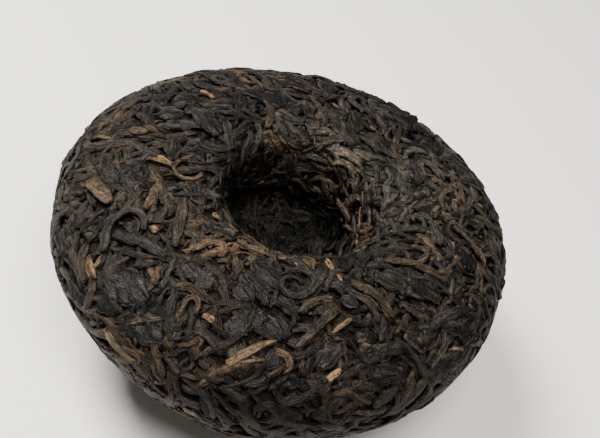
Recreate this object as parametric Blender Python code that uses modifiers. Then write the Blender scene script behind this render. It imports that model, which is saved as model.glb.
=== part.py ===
"""A nest-shaped cake of pressed dark tea, lying on its dome with the hollow upwards.

The leaves are pressed into one hard mass, so the cake is one solid. A turned core
carries the large leaves that show, fused on at true size. Metres, +Z up, and the
origin is at the middle of the small flat foot that the cake lies on.
"""

import math
import random

import bmesh
import bpy
import numpy as np
from mathutils import Matrix, Vector, noise

# The mould's shape: a dome below, a belly, a broad rim and a hollow with a round lip.
CAKE_DIAMETER = 0.083
CAKE_HEIGHT = 0.0422
BELLY_HEIGHT = 0.0300
FOOT_RADIUS = 0.0080
CREST_RADIUS = 0.0168
LIP_RADIUS = 0.0136
LIP_DEPTH = 0.0050
NECK_RADIUS = 0.0130
NECK_HEIGHT = 0.0310
POCKET_RADIUS = 0.0142
POCKET_HEIGHT = 0.0240
POCKET_FLOOR = 0.0160
DOME_FULLNESS = 1.50
RIM_FULLNESS = 2.40

# How far hand pressing leaves it from round: shares of the radius, then metres.
TWO_LOBES = (-0.008, 0.006)
THREE_LOBES = (-0.003, 0.010)
BELLY_SHIFT = (0.0002, 0.0005)
RIM_LEAN = (0.0009, 0.0)
MOUTH_SHIFT = (0.0016, -0.0004)
POCKET_SHIFT = (-0.0022, 0.0014)
DENT_DEPTH = 0.0007
DENT_SPACING = 0.015
HEART_RADIUS = 0.0270
HEART_HEIGHT = 0.0200

# The core under the leaves.
CORE_INSET = 0.0009
CORE_TURNS = 60
CORE_RINGS = 48
BUMP_DEPTH = 0.0006
BUMP_SPACING = 0.0034
PROFILE_POINTS = 400

# The leaves fused on it.
LEAF_COUNT = 240
FLAT_LEAF_EVERY = 6
CURL_EVERY = 10
STRAND_LENGTH = (0.0090, 0.0170)
STRAND_RADIUS = (0.0009, 0.0014)
STRAND_STEPS = 5
STRAND_SUNK = 0.65
CURL_RADIUS = (0.0021, 0.0030)
CURL_STEPS = 8
FLAT_LENGTH = (0.0080, 0.0130)
FLAT_WIDTH = (0.0040, 0.0062)
FLAT_THICKNESS = 0.0014
PRESSED_TOP = (0.0, 0.0004)
PROUD_EVERY = 15
PROUD_HEIGHT = 0.0007
FOOT_MARGIN = 0.0030
LEAST_LIFT = 0.0004
MOST_TRIANGLES = 11400
GOLDEN_ANGLE = math.pi * (3 - math.sqrt(5))
SEED = 7

LEAF_COLOUR = (0.055, 0.045, 0.038, 1.0)
LEAF_ROUGHNESS = 0.6


def clear_scene():
    for thing in list(bpy.data.objects):
        bpy.data.objects.remove(thing, do_unlink=True)


def leaf_material():
    """The dark, dry surface of the pressed leaves."""
    material = bpy.data.materials.new("pressed_leaf")
    material.use_nodes = True
    shader = material.node_tree.nodes["Principled BSDF"]
    shader.inputs["Base Color"].default_value = LEAF_COLOUR
    shader.inputs["Roughness"].default_value = LEAF_ROUGHNESS
    shader.inputs["Metallic"].default_value = 0.0
    return material


def quarter(start, end, fullness, bulge_first, count):
    """A quarter of a superellipse from start to end, each (radius, height), end left out.

    It leaves start along the radius if bulge_first, and along the height if not.
    """
    points = []
    for i in range(count):
        turn = math.pi / 2 * i / count
        over = math.sin(turn) ** (2 / fullness)
        up = 1 - math.cos(turn) ** (2 / fullness)
        if not bulge_first:
            over, up = up, over
        radius = start[0] + (end[0] - start[0]) * over
        height = start[1] + (end[1] - start[1]) * up
        points.append((radius, height))
    return points


def profile_line(count):
    """The mould's half section as about count (radius, height) points, foot to pocket floor."""
    belly = (CAKE_DIAMETER / 2, BELLY_HEIGHT)
    crest = (CREST_RADIUS, CAKE_HEIGHT)
    lip = (LIP_RADIUS, CAKE_HEIGHT - LIP_DEPTH)
    neck = (NECK_RADIUS, NECK_HEIGHT)
    pocket = (POCKET_RADIUS, POCKET_HEIGHT)
    foot = (FOOT_RADIUS, 0.0)
    line = [(0.0, 0.0), (FOOT_RADIUS * 0.55, 0.0)]
    line += quarter(foot, belly, DOME_FULLNESS, True, round(count * 0.36))
    line += quarter(belly, crest, RIM_FULLNESS, False, round(count * 0.28))
    line += quarter(crest, lip, 2, True, round(count * 0.08))
    steps = round(count * 0.08)
    for first, second in ((lip, neck), (neck, pocket)):
        for i in range(steps):
            ease = (1 - math.cos(math.pi * i / steps)) / 2
            radius = first[0] + (second[0] - first[0]) * ease
            line.append((radius, first[1] + (second[1] - first[1]) * i / steps))
    line += quarter(pocket, (0.0, POCKET_FLOOR), 2, False, round(count * 0.12))
    line.append((0.0, POCKET_FLOOR))
    return line


def evenly(line, count):
    """The same line, resampled at count points an equal distance apart."""
    points = np.array(line)
    steps = np.hypot(*np.diff(points, axis=0).T)
    travel = np.concatenate([[0], np.cumsum(steps)])
    wanted = np.linspace(0, travel[-1], count)
    return np.stack([np.interp(wanted, travel, points[:, k]) for k in (0, 1)], axis=1)


class Mould:
    """The smooth turned form that the leaves are pressed against."""

    def __init__(self):
        self.points = evenly(profile_line(PROFILE_POINTS), PROFILE_POINTS)
        along = np.gradient(self.points, axis=0)
        along /= np.linalg.norm(along, axis=1)[:, None]
        self.normals = np.stack([along[:, 1], -along[:, 0]], axis=1)
        rings = 2 * math.pi * self.points[:, 0]
        self.area_share = np.cumsum(rings) / rings.sum()

    def nearest(self, point):
        """(foot on the mould, outward normal, height above it) of a point."""
        radius = math.hypot(point.x, point.y)
        k = int(np.argmin(np.hypot(self.points[:, 0] - radius, self.points[:, 1] - point.z)))
        turn = math.atan2(point.y, point.x)
        foot = self.at(k, turn)
        normal = self.normal_at(k, turn)
        height = (point - foot).dot(normal)
        return point - normal * height, normal, height

    def at(self, k, turn):
        radius, height = self.points[k]
        return Vector((radius * math.cos(turn), radius * math.sin(turn), height))

    def normal_at(self, k, turn):
        out, up = self.normals[k]
        return Vector((out * math.cos(turn), out * math.sin(turn), up))

    def seat(self, share, turn):
        """The place that has this share of the mould's surface below it."""
        return self.at(int(np.searchsorted(self.area_share, share)), turn)

    def on_surface(self, point, height):
        foot, normal, _ = self.nearest(point)
        return foot + normal * height


def smooth(low, high, value):
    share = min(1.0, max(0.0, (value - low) / (high - low)))
    return share * share * (3 - 2 * share)


def hand_pressed(point):
    """Moves a point of the turned form to where uneven pressing leaves it. The foot stays flat."""
    turn = math.atan2(point.y, point.x)
    reach = math.hypot(point.x, point.y) / (CAKE_DIAMETER / 2)
    lift = point.z / CAKE_HEIGHT
    raised = smooth(0.0, 0.2, lift)
    lobes = sum(
        a * math.cos(n * turn) + b * math.sin(n * turn)
        for n, (a, b) in ((2, TWO_LOBES), (3, THREE_LOBES))
    )
    grown = 1 + lobes * reach
    moved = Vector((point.x * grown, point.y * grown, point.z))
    moved.x += BELLY_SHIFT[0] * reach * raised
    moved.y += BELLY_SHIFT[1] * reach * raised
    lean = RIM_LEAN[0] * math.cos(turn) + RIM_LEAN[1] * math.sin(turn)
    moved.z += lean * reach * lift * lift
    inner = 1 - smooth(CREST_RADIUS * 0.8, CAKE_DIAMETER * 0.42, reach * CAKE_DIAMETER / 2)
    inner *= smooth(POCKET_FLOOR * 0.75, POCKET_FLOOR, point.z)
    deep = 1 - smooth(POCKET_HEIGHT, CAKE_HEIGHT - LIP_DEPTH, point.z)
    moved.x += inner * (MOUTH_SHIFT[0] + deep * POCKET_SHIFT[0])
    moved.y += inner * (MOUTH_SHIFT[1] + deep * POCKET_SHIFT[1])
    heart = Vector((math.cos(turn), math.sin(turn), 0)) * HEART_RADIUS
    heart.z = HEART_HEIGHT
    outward = (point - heart).normalized()
    dent = noise.noise(point / DENT_SPACING) * DENT_DEPTH
    return moved + outward * dent * raised


def object_in(collection, name, mesh):
    thing = bpy.data.objects.new(name, mesh)
    collection.objects.link(thing)
    return thing


def applied(thing):
    """Turns an object's evaluated shape, in world space, into a plain mesh object."""
    bpy.context.view_layer.update()
    graph = bpy.context.evaluated_depsgraph_get()
    mesh = bpy.data.meshes.new_from_object(thing.evaluated_get(graph))
    mesh.transform(thing.matrix_world)
    name, collection = thing.name, thing.users_collection[0]
    bpy.data.objects.remove(thing, do_unlink=True)
    return object_in(collection, name, mesh)


def triangulated(mesh):
    """Closes doubled rings, cuts the faces into triangles and points them all outwards."""
    shape = bmesh.new()
    shape.from_mesh(mesh)
    bmesh.ops.remove_doubles(shape, verts=shape.verts, dist=0.00002)
    bmesh.ops.triangulate(shape, faces=shape.faces)
    bmesh.ops.recalc_face_normals(shape, faces=shape.faces)
    shape.to_mesh(mesh)
    shape.free()


def make_core(collection, mould):
    """The turned core: the mould's section drawn in a little, turned, then made uneven."""
    section = evenly(profile_line(PROFILE_POINTS), PROFILE_POINTS)
    inset = section - mould.normals * CORE_INSET
    inset[:, 0] = np.maximum(inset[:, 0], 0.0)
    inset[:, 1] = np.maximum(inset[:, 1], 0.0)
    flat = section[:, 1] < 1e-6
    inset[flat] = section[flat]
    inset[[0, -1], 0] = 0.0
    line = evenly(inset, CORE_RINGS)[::-1]
    mesh = bpy.data.meshes.new("core")
    verts = [(radius, 0.0, height) for radius, height in line]
    mesh.from_pydata(verts, [(i, i + 1) for i in range(len(verts) - 1)], [])
    core = object_in(collection, "core", mesh)
    turned = core.modifiers.new("turned", "SCREW")
    turned.steps = turned.render_steps = CORE_TURNS
    turned.use_merge_vertices = True
    turned.merge_threshold = 0.00005
    core = applied(core)
    for vertex in core.data.vertices:
        foot, normal, _ = mould.nearest(vertex.co)
        bump = noise.noise(vertex.co / BUMP_SPACING) * BUMP_DEPTH * smooth(0.0, 0.003, foot.z)
        vertex.co = hand_pressed(vertex.co + normal * bump)
        if foot.z < 1e-6:
            vertex.co.z = 0.0
    triangulated(core.data)
    return core


def press(mesh, mould, top):
    """Cuts a leaf off level at top above the mould, and keeps it clear of the foot's plane."""
    for vertex in mesh.vertices:
        foot, normal, height = mould.nearest(vertex.co)
        vertex.co = hand_pressed(foot + normal * min(height, top))
        vertex.co.z = max(vertex.co.z, LEAST_LIFT)


def walk(mould, start, heading, lengths, bends, depths):
    """Points that follow the mould from start, turning by a bend after each length."""
    here, normal, _ = mould.nearest(start)
    points = [here + normal * depths[0]]
    way = (heading - normal * heading.dot(normal)).normalized()
    for length, bend, depth in zip(lengths, bends, depths[1:]):
        here, normal, _ = mould.nearest(here + way * length)
        way = (way - normal * way.dot(normal)).normalized()
        way = Matrix.Rotation(bend, 3, normal) @ way
        points.append(here + normal * depth)
    return points


def tube(collection, name, points, radii):
    """A tapering tube through the points, as a closed mesh."""
    curve = bpy.data.curves.new(name, "CURVE")
    curve.dimensions = "3D"
    curve.bevel_depth = 1.0
    curve.bevel_resolution = 1
    curve.use_fill_caps = True
    spline = curve.splines.new("POLY")
    spline.points.add(len(points) - 1)
    for knot, point, radius in zip(spline.points, points, radii):
        knot.co = (*point, 1.0)
        knot.radius = radius
    leaf = applied(object_in(collection, name, curve))
    triangulated(leaf.data)
    return leaf


def make_strand(collection, mould, name, seat, heading, draw, proud):
    """A rolled leaf: a tapering strand that bends gently over the surface."""
    length = draw.uniform(*STRAND_LENGTH)
    radius = draw.uniform(*STRAND_RADIUS)
    bend = draw.uniform(-0.35, 0.35)
    bends = [bend + draw.uniform(-0.15, 0.15) for _ in range(STRAND_STEPS)]
    depths = [-radius * STRAND_SUNK] * (STRAND_STEPS + 1)
    depths[-1] += proud * 1.5
    points = walk(mould, seat, heading, [length / STRAND_STEPS] * STRAND_STEPS, bends, depths)
    radii = []
    for i in range(STRAND_STEPS + 1):
        radii.append(radius * (0.45 + 0.55 * math.sin(math.pi * (i + 0.5) / (STRAND_STEPS + 1))))
    leaf = tube(collection, name, points, radii)
    press(leaf.data, mould, draw.uniform(*PRESSED_TOP) + proud)
    return leaf


def make_curl(collection, mould, name, seat, heading, draw):
    """A rolled leaf that closed into a hook or loop before it dried."""
    loop = draw.uniform(*CURL_RADIUS)
    radius = STRAND_RADIUS[0]
    turn = draw.uniform(4.2, 5.2) / CURL_STEPS * draw.choice((-1, 1))
    step = loop * abs(turn)
    bends = [turn] * CURL_STEPS
    depths = [-radius * STRAND_SUNK] * (CURL_STEPS + 1)
    points = walk(mould, seat, heading, [step] * CURL_STEPS, bends, depths)
    radii = [radius * (0.6 + 0.4 * math.sin(math.pi * i / CURL_STEPS)) for i in range(CURL_STEPS + 1)]
    leaf = tube(collection, name, points, radii)
    press(leaf.data, mould, draw.uniform(*PRESSED_TOP))
    return leaf


def make_flat_leaf(collection, mould, name, seat, heading, draw):
    """An unrolled leaf piece: a thin wavy plate with a pointed outline."""
    length = draw.uniform(*FLAT_LENGTH)
    width = draw.uniform(*FLAT_WIDTH)
    _, normal, _ = mould.nearest(seat)
    side = normal.cross(heading).normalized()
    mesh = bpy.data.meshes.new(name)
    shape = bmesh.new()
    bmesh.ops.create_grid(shape, x_segments=4, y_segments=2, size=1.0)
    for vertex in shape.verts:
        along, across = vertex.co.x, vertex.co.y
        outline = math.sqrt(max(0.06, 1 - along * along * 0.94))
        flat = seat + heading * along * length / 2 + side * across * outline * width / 2
        wave = noise.noise(flat / 0.004) * 0.0003
        vertex.co = mould.on_surface(flat, wave)
    bmesh.ops.triangulate(shape, faces=shape.faces)
    shape.normal_update()
    if sum(face.normal.dot(normal) for face in shape.faces) < 0:
        bmesh.ops.reverse_faces(shape, faces=shape.faces)
    shape.to_mesh(mesh)
    shape.free()
    leaf = object_in(collection, name, mesh)
    wall = leaf.modifiers.new("wall", "SOLIDIFY")
    wall.thickness = FLAT_THICKNESS
    wall.offset = -1.0
    leaf = applied(leaf)
    press(leaf.data, mould, FLAT_THICKNESS)
    triangulated(leaf.data)
    return leaf


def make_leaves(collection, mould):
    """Leaves at even spacing over the whole surface, in headings drawn from the seed."""
    draw = random.Random(SEED)
    for i in range(LEAF_COUNT):
        seat = mould.seat((i + 0.5) / LEAF_COUNT, i * GOLDEN_ANGLE)
        _, normal, _ = mould.nearest(seat)
        level = normal.orthogonal().normalized()
        heading = Matrix.Rotation(draw.uniform(0, 2 * math.pi), 3, normal) @ level
        if math.hypot(seat.x, seat.y) < FOOT_RADIUS + FOOT_MARGIN and seat.z < BELLY_HEIGHT / 4:
            continue
        name = f"leaf_{i:03d}"
        if i % FLAT_LEAF_EVERY == 2:
            make_flat_leaf(collection, mould, name, seat, heading, draw)
        elif i % CURL_EVERY == 4:
            make_curl(collection, mould, name, seat, heading, draw)
        else:
            proud = PROUD_HEIGHT if i % PROUD_EVERY == 1 else 0.0
            make_strand(collection, mould, name, seat, heading, draw, proud)


def keep_outer_shell(mesh):
    """Drops loose scraps and the shells of sealed gaps: only the largest shell stays."""
    shape = bmesh.new()
    shape.from_mesh(mesh)
    bmesh.ops.triangulate(shape, faces=shape.faces)
    left = set(shape.verts)
    shells = []
    while left:
        edge_of_shell = [left.pop()]
        shell = []
        while edge_of_shell:
            vertex = edge_of_shell.pop()
            shell.append(vertex)
            for edge in vertex.link_edges:
                other = edge.other_vert(vertex)
                if other in left:
                    left.remove(other)
                    edge_of_shell.append(other)
        shells.append(shell)
    shells.sort(key=len)
    for shell in shells[:-1]:
        bmesh.ops.delete(shape, geom=shell, context="VERTS")
    shape.to_mesh(mesh)
    shape.free()


def fuse(core, leaves):
    """Joins the leaves to the core in one union, thins its mesh and returns the cake."""
    core.name = "tea_cake"
    union = core.modifiers.new("fused", "BOOLEAN")
    union.operation = "UNION"
    union.operand_type = "COLLECTION"
    union.collection = leaves
    union.solver = "MANIFOLD"
    cake = applied(core)
    for leaf in list(leaves.objects):
        bpy.data.objects.remove(leaf, do_unlink=True)
    bpy.data.collections.remove(leaves)
    keep_outer_shell(cake.data)
    thinned = cake.modifiers.new("thinned", "DECIMATE")
    thinned.ratio = min(1.0, MOST_TRIANGLES / len(cake.data.polygons))
    thinned.use_collapse_triangulate = True
    return applied(cake)


def main():
    clear_scene()
    cake_collection = bpy.data.collections.new("pressed_tea_cake")
    leaves = bpy.data.collections.new("fused_leaves")
    for collection in (cake_collection, leaves):
        bpy.context.scene.collection.children.link(collection)
    mould = Mould()
    core = make_core(cake_collection, mould)
    make_leaves(leaves, mould)
    cake = fuse(core, leaves)
    cake.data.materials.clear()
    cake.data.materials.append(leaf_material())


main()
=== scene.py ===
"""The looks of a nest-shaped cake of pressed dark tea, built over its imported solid.

A dark core fills the cake. Rolled, folded and curled leaves lie on it in layers, pressed flat
at one outer level, as the mould left them. Metres, +Z up, origin at the middle of the foot.
"""

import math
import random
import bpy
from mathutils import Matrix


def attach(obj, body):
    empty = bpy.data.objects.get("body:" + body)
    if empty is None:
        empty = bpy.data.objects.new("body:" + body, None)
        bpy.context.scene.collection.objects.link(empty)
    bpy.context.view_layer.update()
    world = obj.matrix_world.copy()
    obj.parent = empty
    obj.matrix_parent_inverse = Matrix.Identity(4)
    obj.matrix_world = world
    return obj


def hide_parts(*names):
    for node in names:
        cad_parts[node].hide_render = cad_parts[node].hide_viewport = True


bl_info = {
    "name": "Pressed Tea Cake",
    "version": (1, 0, 0),
    "blender": (4, 5, 0),
    "location": "View3D > Sidebar > Tea Cake",
    "description": "Builds a nest-shaped cake of pressed tea leaves over its solid",
    "category": "Object",
}

import bmesh
import bpy
import numpy as np
from bpy.props import (
    FloatProperty,
    FloatVectorProperty,
    IntProperty,
    PointerProperty,
)
from mathutils import Matrix, Vector, kdtree, noise
from mathutils.bvhtree import BVHTree

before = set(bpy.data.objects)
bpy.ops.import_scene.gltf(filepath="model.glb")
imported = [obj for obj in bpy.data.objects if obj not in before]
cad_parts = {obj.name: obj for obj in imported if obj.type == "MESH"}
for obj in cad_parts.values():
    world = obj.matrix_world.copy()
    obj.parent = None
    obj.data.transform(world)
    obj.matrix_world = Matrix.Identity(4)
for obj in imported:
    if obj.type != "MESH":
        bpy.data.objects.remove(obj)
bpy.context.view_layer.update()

NODE = "tea_cake"
MM = 0.001
PICTURE = (600, 438)

# The share of the section's points that each stretch of it gets

DOME_POINTS = 0.36
RIM_POINTS = 0.28
LIP_POINTS = 0.08
POCKET_POINTS = 0.12

# What hand pressing moves: less and less of the cake under a share of its height, and less of the
# hollow under its floor. Dents push away from a ring inside the cake. The hollow moves whole up
# to a share of the rim's radius, and not at all past a share of the cake's width

FOOT_STILL = 0.2
FLOOR_STILL = 0.75
HEART_RADIUS = 0.027
HEART_HEIGHT = 0.020
HOLLOW_WHOLE = 0.8
HOLLOW_NONE = 0.42

# Headings: neighbours swirl together over these spacings, by up to these turns, and on the flank
# they keep closer to the way round the cake

SWIRL_SPACING = 0.012
SWIRL_TURN = 2.4
RIPPLE_SPACING = 0.005
RIPPLE_TURN = 1.6
RIPPLE_START = (7, 3, 1)
FLANK_RADIUS = 0.02
FLANK_HEIGHTS = (0.026, 0.037)
FLANK_TURN = 0.25

# Paths: kinks come at this spacing, some leaves end in a hook, and a few go straight for a while
# before they curl. Turns are in radians for each millimetre, and a curl's radius in millimetres

FEWEST_STEPS = 4
NOISE_REACH = 100
KINK_SPACING = 0.0022
KINK_SHARE = 4.5
HOOK_START = 0.55
HOOK_TURN = (0.15, 0.45)
HOOKED = 0.22
CURL_STEP = 0.00065
CURL_FEWEST_STEPS = 10
CURL_RADIUS = (1.3, 2.6)
CURL_START = (0.0, 0.45)
CURL_EASE = 0.15

# A leaf's shape along its path: how far its ends narrow, how its width and depth vary

WIDTH_SKEW = 1.3
TAIL_REACH = 0.22
TIP_REACH = 0.32
END_SPREAD = (0.6, 1.5)
LUMP_SPACING = 0.0016
SWAY = 0.00014
SWAY_SPACING = 0.0011
END_DIP = 0.00025

# A leaf's colour: middle and spread of the grey bloom and the warmth, ranges of the gold and shade

TINT = (0.45, 0.28)
WARMTH = (0.12, 0.30)
TINGED = 0.05
TINGED_GOLD = (0.06, 0.20)
BUD_GOLD = (0.35, 1.0)
SHADE = (0.75, 1.25)

# Layers: light that reaches each, draws for each leaf wanted, spread of the depth, and how far
# some leaves stand proud of the level that the mould left

LAYER_SHADE = {"top": 1.0, "upper": 0.85, "middle": 0.5}
DRAWS = 4
NEAR_SIDE = 0.005
DEPTH_SPREAD = 0.00018
MOST_PROUD = 0.00028
PROUD_LIFT = 0.8
LEVEL = 0.00010
LEVEL_SWELL = 0.00026
LEVEL_SPACING = 0.006

# The sweep: how the grain is scaled for lumps and veins, how far apart two leaves' grain lies,
# how the wobble is scaled, and the least height over the floor

GRAIN_APART = 7.31
LUMP_GRAIN = (1.3, 1.3, 0.75)
VEIN_GRAIN = (2.4, 2.4, 0.3)
WOBBLE_ALONG = 420.0
WOBBLE_ROUND = 350.0
WOBBLE_APART = 1.7
LEAST_HEIGHT = 0.00005

# The core under the leaves: its depth, its folds and lumps as spacing and height, its lowest point

CORE_DEPTH = 0.0011
CORE_FOLDS = (0.0022, 0.0009)
CORE_LUMPS = (0.0011, 0.0003)
CORE_DROP = 0.0003
CORE_LOWEST = 0.0003

# Noise on the leaves: how the grain is scaled for veins and fibres, and the scale and detail of
# patches, crumples and specks. Then the scale and detail of the core's noise, and its bumps

VEINS = (1.6, 1.6, 0.40)
FIBRES = (4.5, 4.5, 0.8)
PATCHES = (420.0, 3.0)
CRUMPLES = (900.0, 1.5)
SPECKS = (3800.0, 1.0)
WARM_GLOSS = (1.0, 0.95, 0.88, 1.0)
LEAF_BUMPS = 0.001
CORE_NOISE = (1500.0, 4.0)
CORE_BUMPS = 0.0012

# Crumbs: length, width and height, scale of their noise, how far it pushes, and how deep they lie

CRUMB_SHAPE = (1.5, 1.0, 0.6)
CRUMB_GRAIN = 1500.0
CRUMB_PUSH = 0.0008
CRUMB_DEPTH = (0.0001, 0.0006)
CRUMB_LOWEST = 0.002
CRUMB_GOLD = (0.2, 0.7)
CRUMB_GOLDEN = 0.02

# Traced leaves: distance between the points of a path, and depth of the axis in millimetres

TRACED_STEP = 0.0006
TRACED_DEPTH = 0.25

# Soft lights: name, place, width and share of the key light's power

LIGHTS = (
    ("window", (-0.23, 0.06, 0.42), 0.18, 1.0),
    ("fill", (0.04, -0.18, 0.47), 0.20, 0.62),
)
SKY = (1.0, 0.98, 0.94, 1.0)
SENSOR = 36.0
FLOOR_DROP = 0.0001

# What a piece's mesh keeps for its material

KEPT = (
    "grain", "swell", "high", "flatness", "tint", "warmth", "gold", "shade",
    "position", "sharp_face", "material_index",
)


# Sizes and colours

def size_prop(name, description, default):
    return FloatProperty(
        name=name, description=description, default=default, unit="LENGTH", precision=5
    )


def plain_prop(name, description, default):
    return FloatProperty(name=name, description=description, default=default, precision=3)


def share_prop(name, description, default, low=0.0, high=1.0):
    return FloatProperty(name=name, description=description, default=default, min=low, max=high)


def count_prop(description, default):
    return IntProperty(name="Count", description=description, default=default, min=0)


def range_prop(name, description, default, unit="LENGTH"):
    return FloatVectorProperty(
        name=name, description=description, default=default, size=2, unit=unit, precision=5
    )


def colour_prop(name, description, default):
    return FloatVectorProperty(
        name=name, description=description, default=default, size=3, subtype="COLOR", min=0, max=1
    )


class MouldSizes(bpy.types.PropertyGroup):
    """The mould's form, and how uneven pressing changes it"""

    diameter: size_prop("Diameter", "Width of the cake at its belly", 0.083)
    height: size_prop("Height", "Foot to the crest of the rim", 0.0422)
    belly_height: size_prop("Belly height", "Height of the widest place", 0.0300)
    foot_radius: size_prop("Foot radius", "Radius of the flat spot it lies on", 0.0080)
    crest_radius: size_prop("Crest radius", "Radius of the rim's highest ring", 0.0168)
    lip_radius: size_prop("Lip radius", "Radius of the hollow under its rounded lip", 0.0136)
    lip_depth: size_prop("Lip depth", "How far the rounded lip goes down", 0.0050)
    neck_radius: size_prop("Neck radius", "Radius of the hollow's narrowest ring", 0.0130)
    neck_height: size_prop("Neck height", "Height of the hollow's narrowest ring", 0.0310)
    pocket_radius: size_prop("Pocket radius", "Radius of the pocket at its widest", 0.0142)
    pocket_height: size_prop("Pocket height", "Height of the pocket's widest ring", 0.0240)
    pocket_floor: size_prop("Pocket floor", "Height of the hollow's floor", 0.0160)
    dome_fullness: share_prop("Dome fullness", "1 is a straight cone, 2 is round", 1.50, 1, 4)
    rim_fullness: share_prop("Rim fullness", "2 is round, more is squarer", 2.40, 1, 4)
    two_lobes: range_prop("Two lobes", "Oval part, as cosine and sine", (-0.008, 0.006), "NONE")
    three_lobes: range_prop("Three lobes", "Three-sided part, as cosine and sine", (-0.003, 0.010), "NONE")
    belly_shift: range_prop("Belly shift", "How far the belly leans off the foot", (0.0002, 0.0005))
    rim_lean: range_prop("Rim lean", "How much higher one side of the rim is", (0.0009, 0.0))
    mouth_shift: range_prop("Mouth shift", "How far the mouth is off centre", (0.0016, -0.0004))
    pocket_shift: range_prop("Pocket shift", "How far the pocket is off the mouth", (-0.0022, 0.0014))
    dent_depth: size_prop("Dent depth", "How deep uneven pressing dents it", 0.0007)
    dent_spacing: size_prop("Dent spacing", "How far apart the dents are", 0.015)


def kind_fields(count, length, half_width, flatness, bend, twist, ridges, ridge_depth, fold_depth):
    """The sizes that each kind of leaf has, with that kind's defaults."""
    return {
        "count": count_prop("Most leaves laid in one layer", count),
        "length": range_prop("Length", "Shortest and longest leaf", length),
        "half_width": range_prop("Half width", "Thinnest and widest leaf", half_width),
        "flatness": range_prop("Flatness", "Thickness as a share of the width", flatness, "NONE"),
        "bend": share_prop("Bend", "Turn over each millimetre, in radians", bend),
        "twist": share_prop("Twist", "How fast the ridges wind, in radians a millimetre", twist),
        "ridges": IntProperty(
            name="Ridges", description="Ridges round the section", default=ridges, min=0
        ),
        "ridge_depth": share_prop("Ridge depth", "Height of the ridges, of the radius", ridge_depth),
        "fold_depth": share_prop("Fold depth", "Depth of the open fold, of the radius", fold_depth),
    }


class RolledLeaves(bpy.types.PropertyGroup):
    """Tightly rolled leaves, most of what shows"""

    __annotations__ = kind_fields(
        800, (0.0040, 0.0130), (0.00048, 0.00100), (0.55, 0.80), 0.095, 0.22, 3, 0.16, 0.35
    )


class FineLeaves(bpy.types.PropertyGroup):
    """Fine twisted leaves between the others"""

    __annotations__ = kind_fields(
        560, (0.0035, 0.0090), (0.00028, 0.00050), (0.70, 0.95), 0.09, 0.4, 2, 0.12, 0.25
    )


class FoldedLeaves(bpy.types.PropertyGroup):
    """Wide leaves, folded along their middle"""

    __annotations__ = kind_fields(
        140, (0.0045, 0.0095), (0.0010, 0.0021), (0.20, 0.32), 0.05, 0.03, 5, 0.07, 0.25
    )


class FlatLeaves(bpy.types.PropertyGroup):
    """Flat torn scraps of leaf"""

    __annotations__ = kind_fields(
        110, (0.0035, 0.0075), (0.0013, 0.0023), (0.10, 0.17), 0.03, 0.02, 3, 0.08, 0.10
    )


class CurledLeaves(bpy.types.PropertyGroup):
    """Leaves that closed into hooks and loops"""

    __annotations__ = kind_fields(
        110, (0.006, 0.012), (0.00045, 0.00075), (0.70, 0.90), 0.50, 0.20, 3, 0.12, 0.30
    )


class Stems(bpy.types.PropertyGroup):
    """Straight ridged stems"""

    __annotations__ = kind_fields(
        40, (0.005, 0.010), (0.00045, 0.00065), (0.75, 0.95), 0.012, 0.02, 6, 0.07, 0.0
    )


class GoldenTips(bpy.types.PropertyGroup):
    """Small golden buds"""

    __annotations__ = kind_fields(
        28, (0.0016, 0.0042), (0.00026, 0.00052), (0.45, 0.75), 0.06, 0.1, 2, 0.16, 0.30
    )


class Crumbs(bpy.types.PropertyGroup):
    """Crumbs of broken leaf in the gaps"""

    count: count_prop("Crumbs of broken leaf", 1900)
    radius: range_prop("Radius", "Smallest and largest crumb", (0.00018, 0.00040))


class LeafColours(bpy.types.PropertyGroup):
    """Colours and gloss of the dry leaf"""

    dark: colour_prop("Dark", "The darkest leaves", (0.0066, 0.0054, 0.0043))
    grey: colour_prop("Grey", "Leaves with a dry grey bloom", (0.0345, 0.0297, 0.0238))
    brown: colour_prop("Brown", "Warm brown leaves", (0.0520, 0.0308, 0.0158))
    gold: colour_prop("Gold", "Golden buds and stem scraps", (0.20, 0.120, 0.055))
    core: colour_prop("Core", "The pressed mass in the gaps", (0.007, 0.0055, 0.0042))
    roughness: share_prop("Roughness", "Middle roughness of a leaf", 0.58)
    shine: share_prop("Shine", "How much light the dry surface mirrors", 0.16)


class StageSizes(bpy.types.PropertyGroup):
    """The floor, the light and the camera"""

    floor: colour_prop("Floor", "The plain pale floor", (0.80, 0.77, 0.72))
    distance: size_prop("Distance", "Camera to the cake's middle", 0.200)
    elevation: plain_prop("Elevation", "Camera above the floor, in degrees", 44.404)
    roll: plain_prop("Roll", "How far the camera is tilted, in degrees", 18.43)
    lens: plain_prop("Lens", "Focal length in millimetres", 64.0)
    aim: range_prop("Aim", "The view's centre, right and up of the cake's", (0.00541, 0.00874))
    key: plain_prop("Key", "Power of the soft window light", 5.5)
    sky: plain_prop("Sky", "Strength of the even light", 0.18)


# Leaves that stand out in the photograph: half width in mm, thickness share, rise in mm, grey
# bloom, warmth, gold, then the pixels that the leaf runs through. A rise below 0 is a sunk leaf of
# the darkest colour that the top layers keep off: painted shade, a dark sheet where a gap between
# leaves lies in shade

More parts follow.
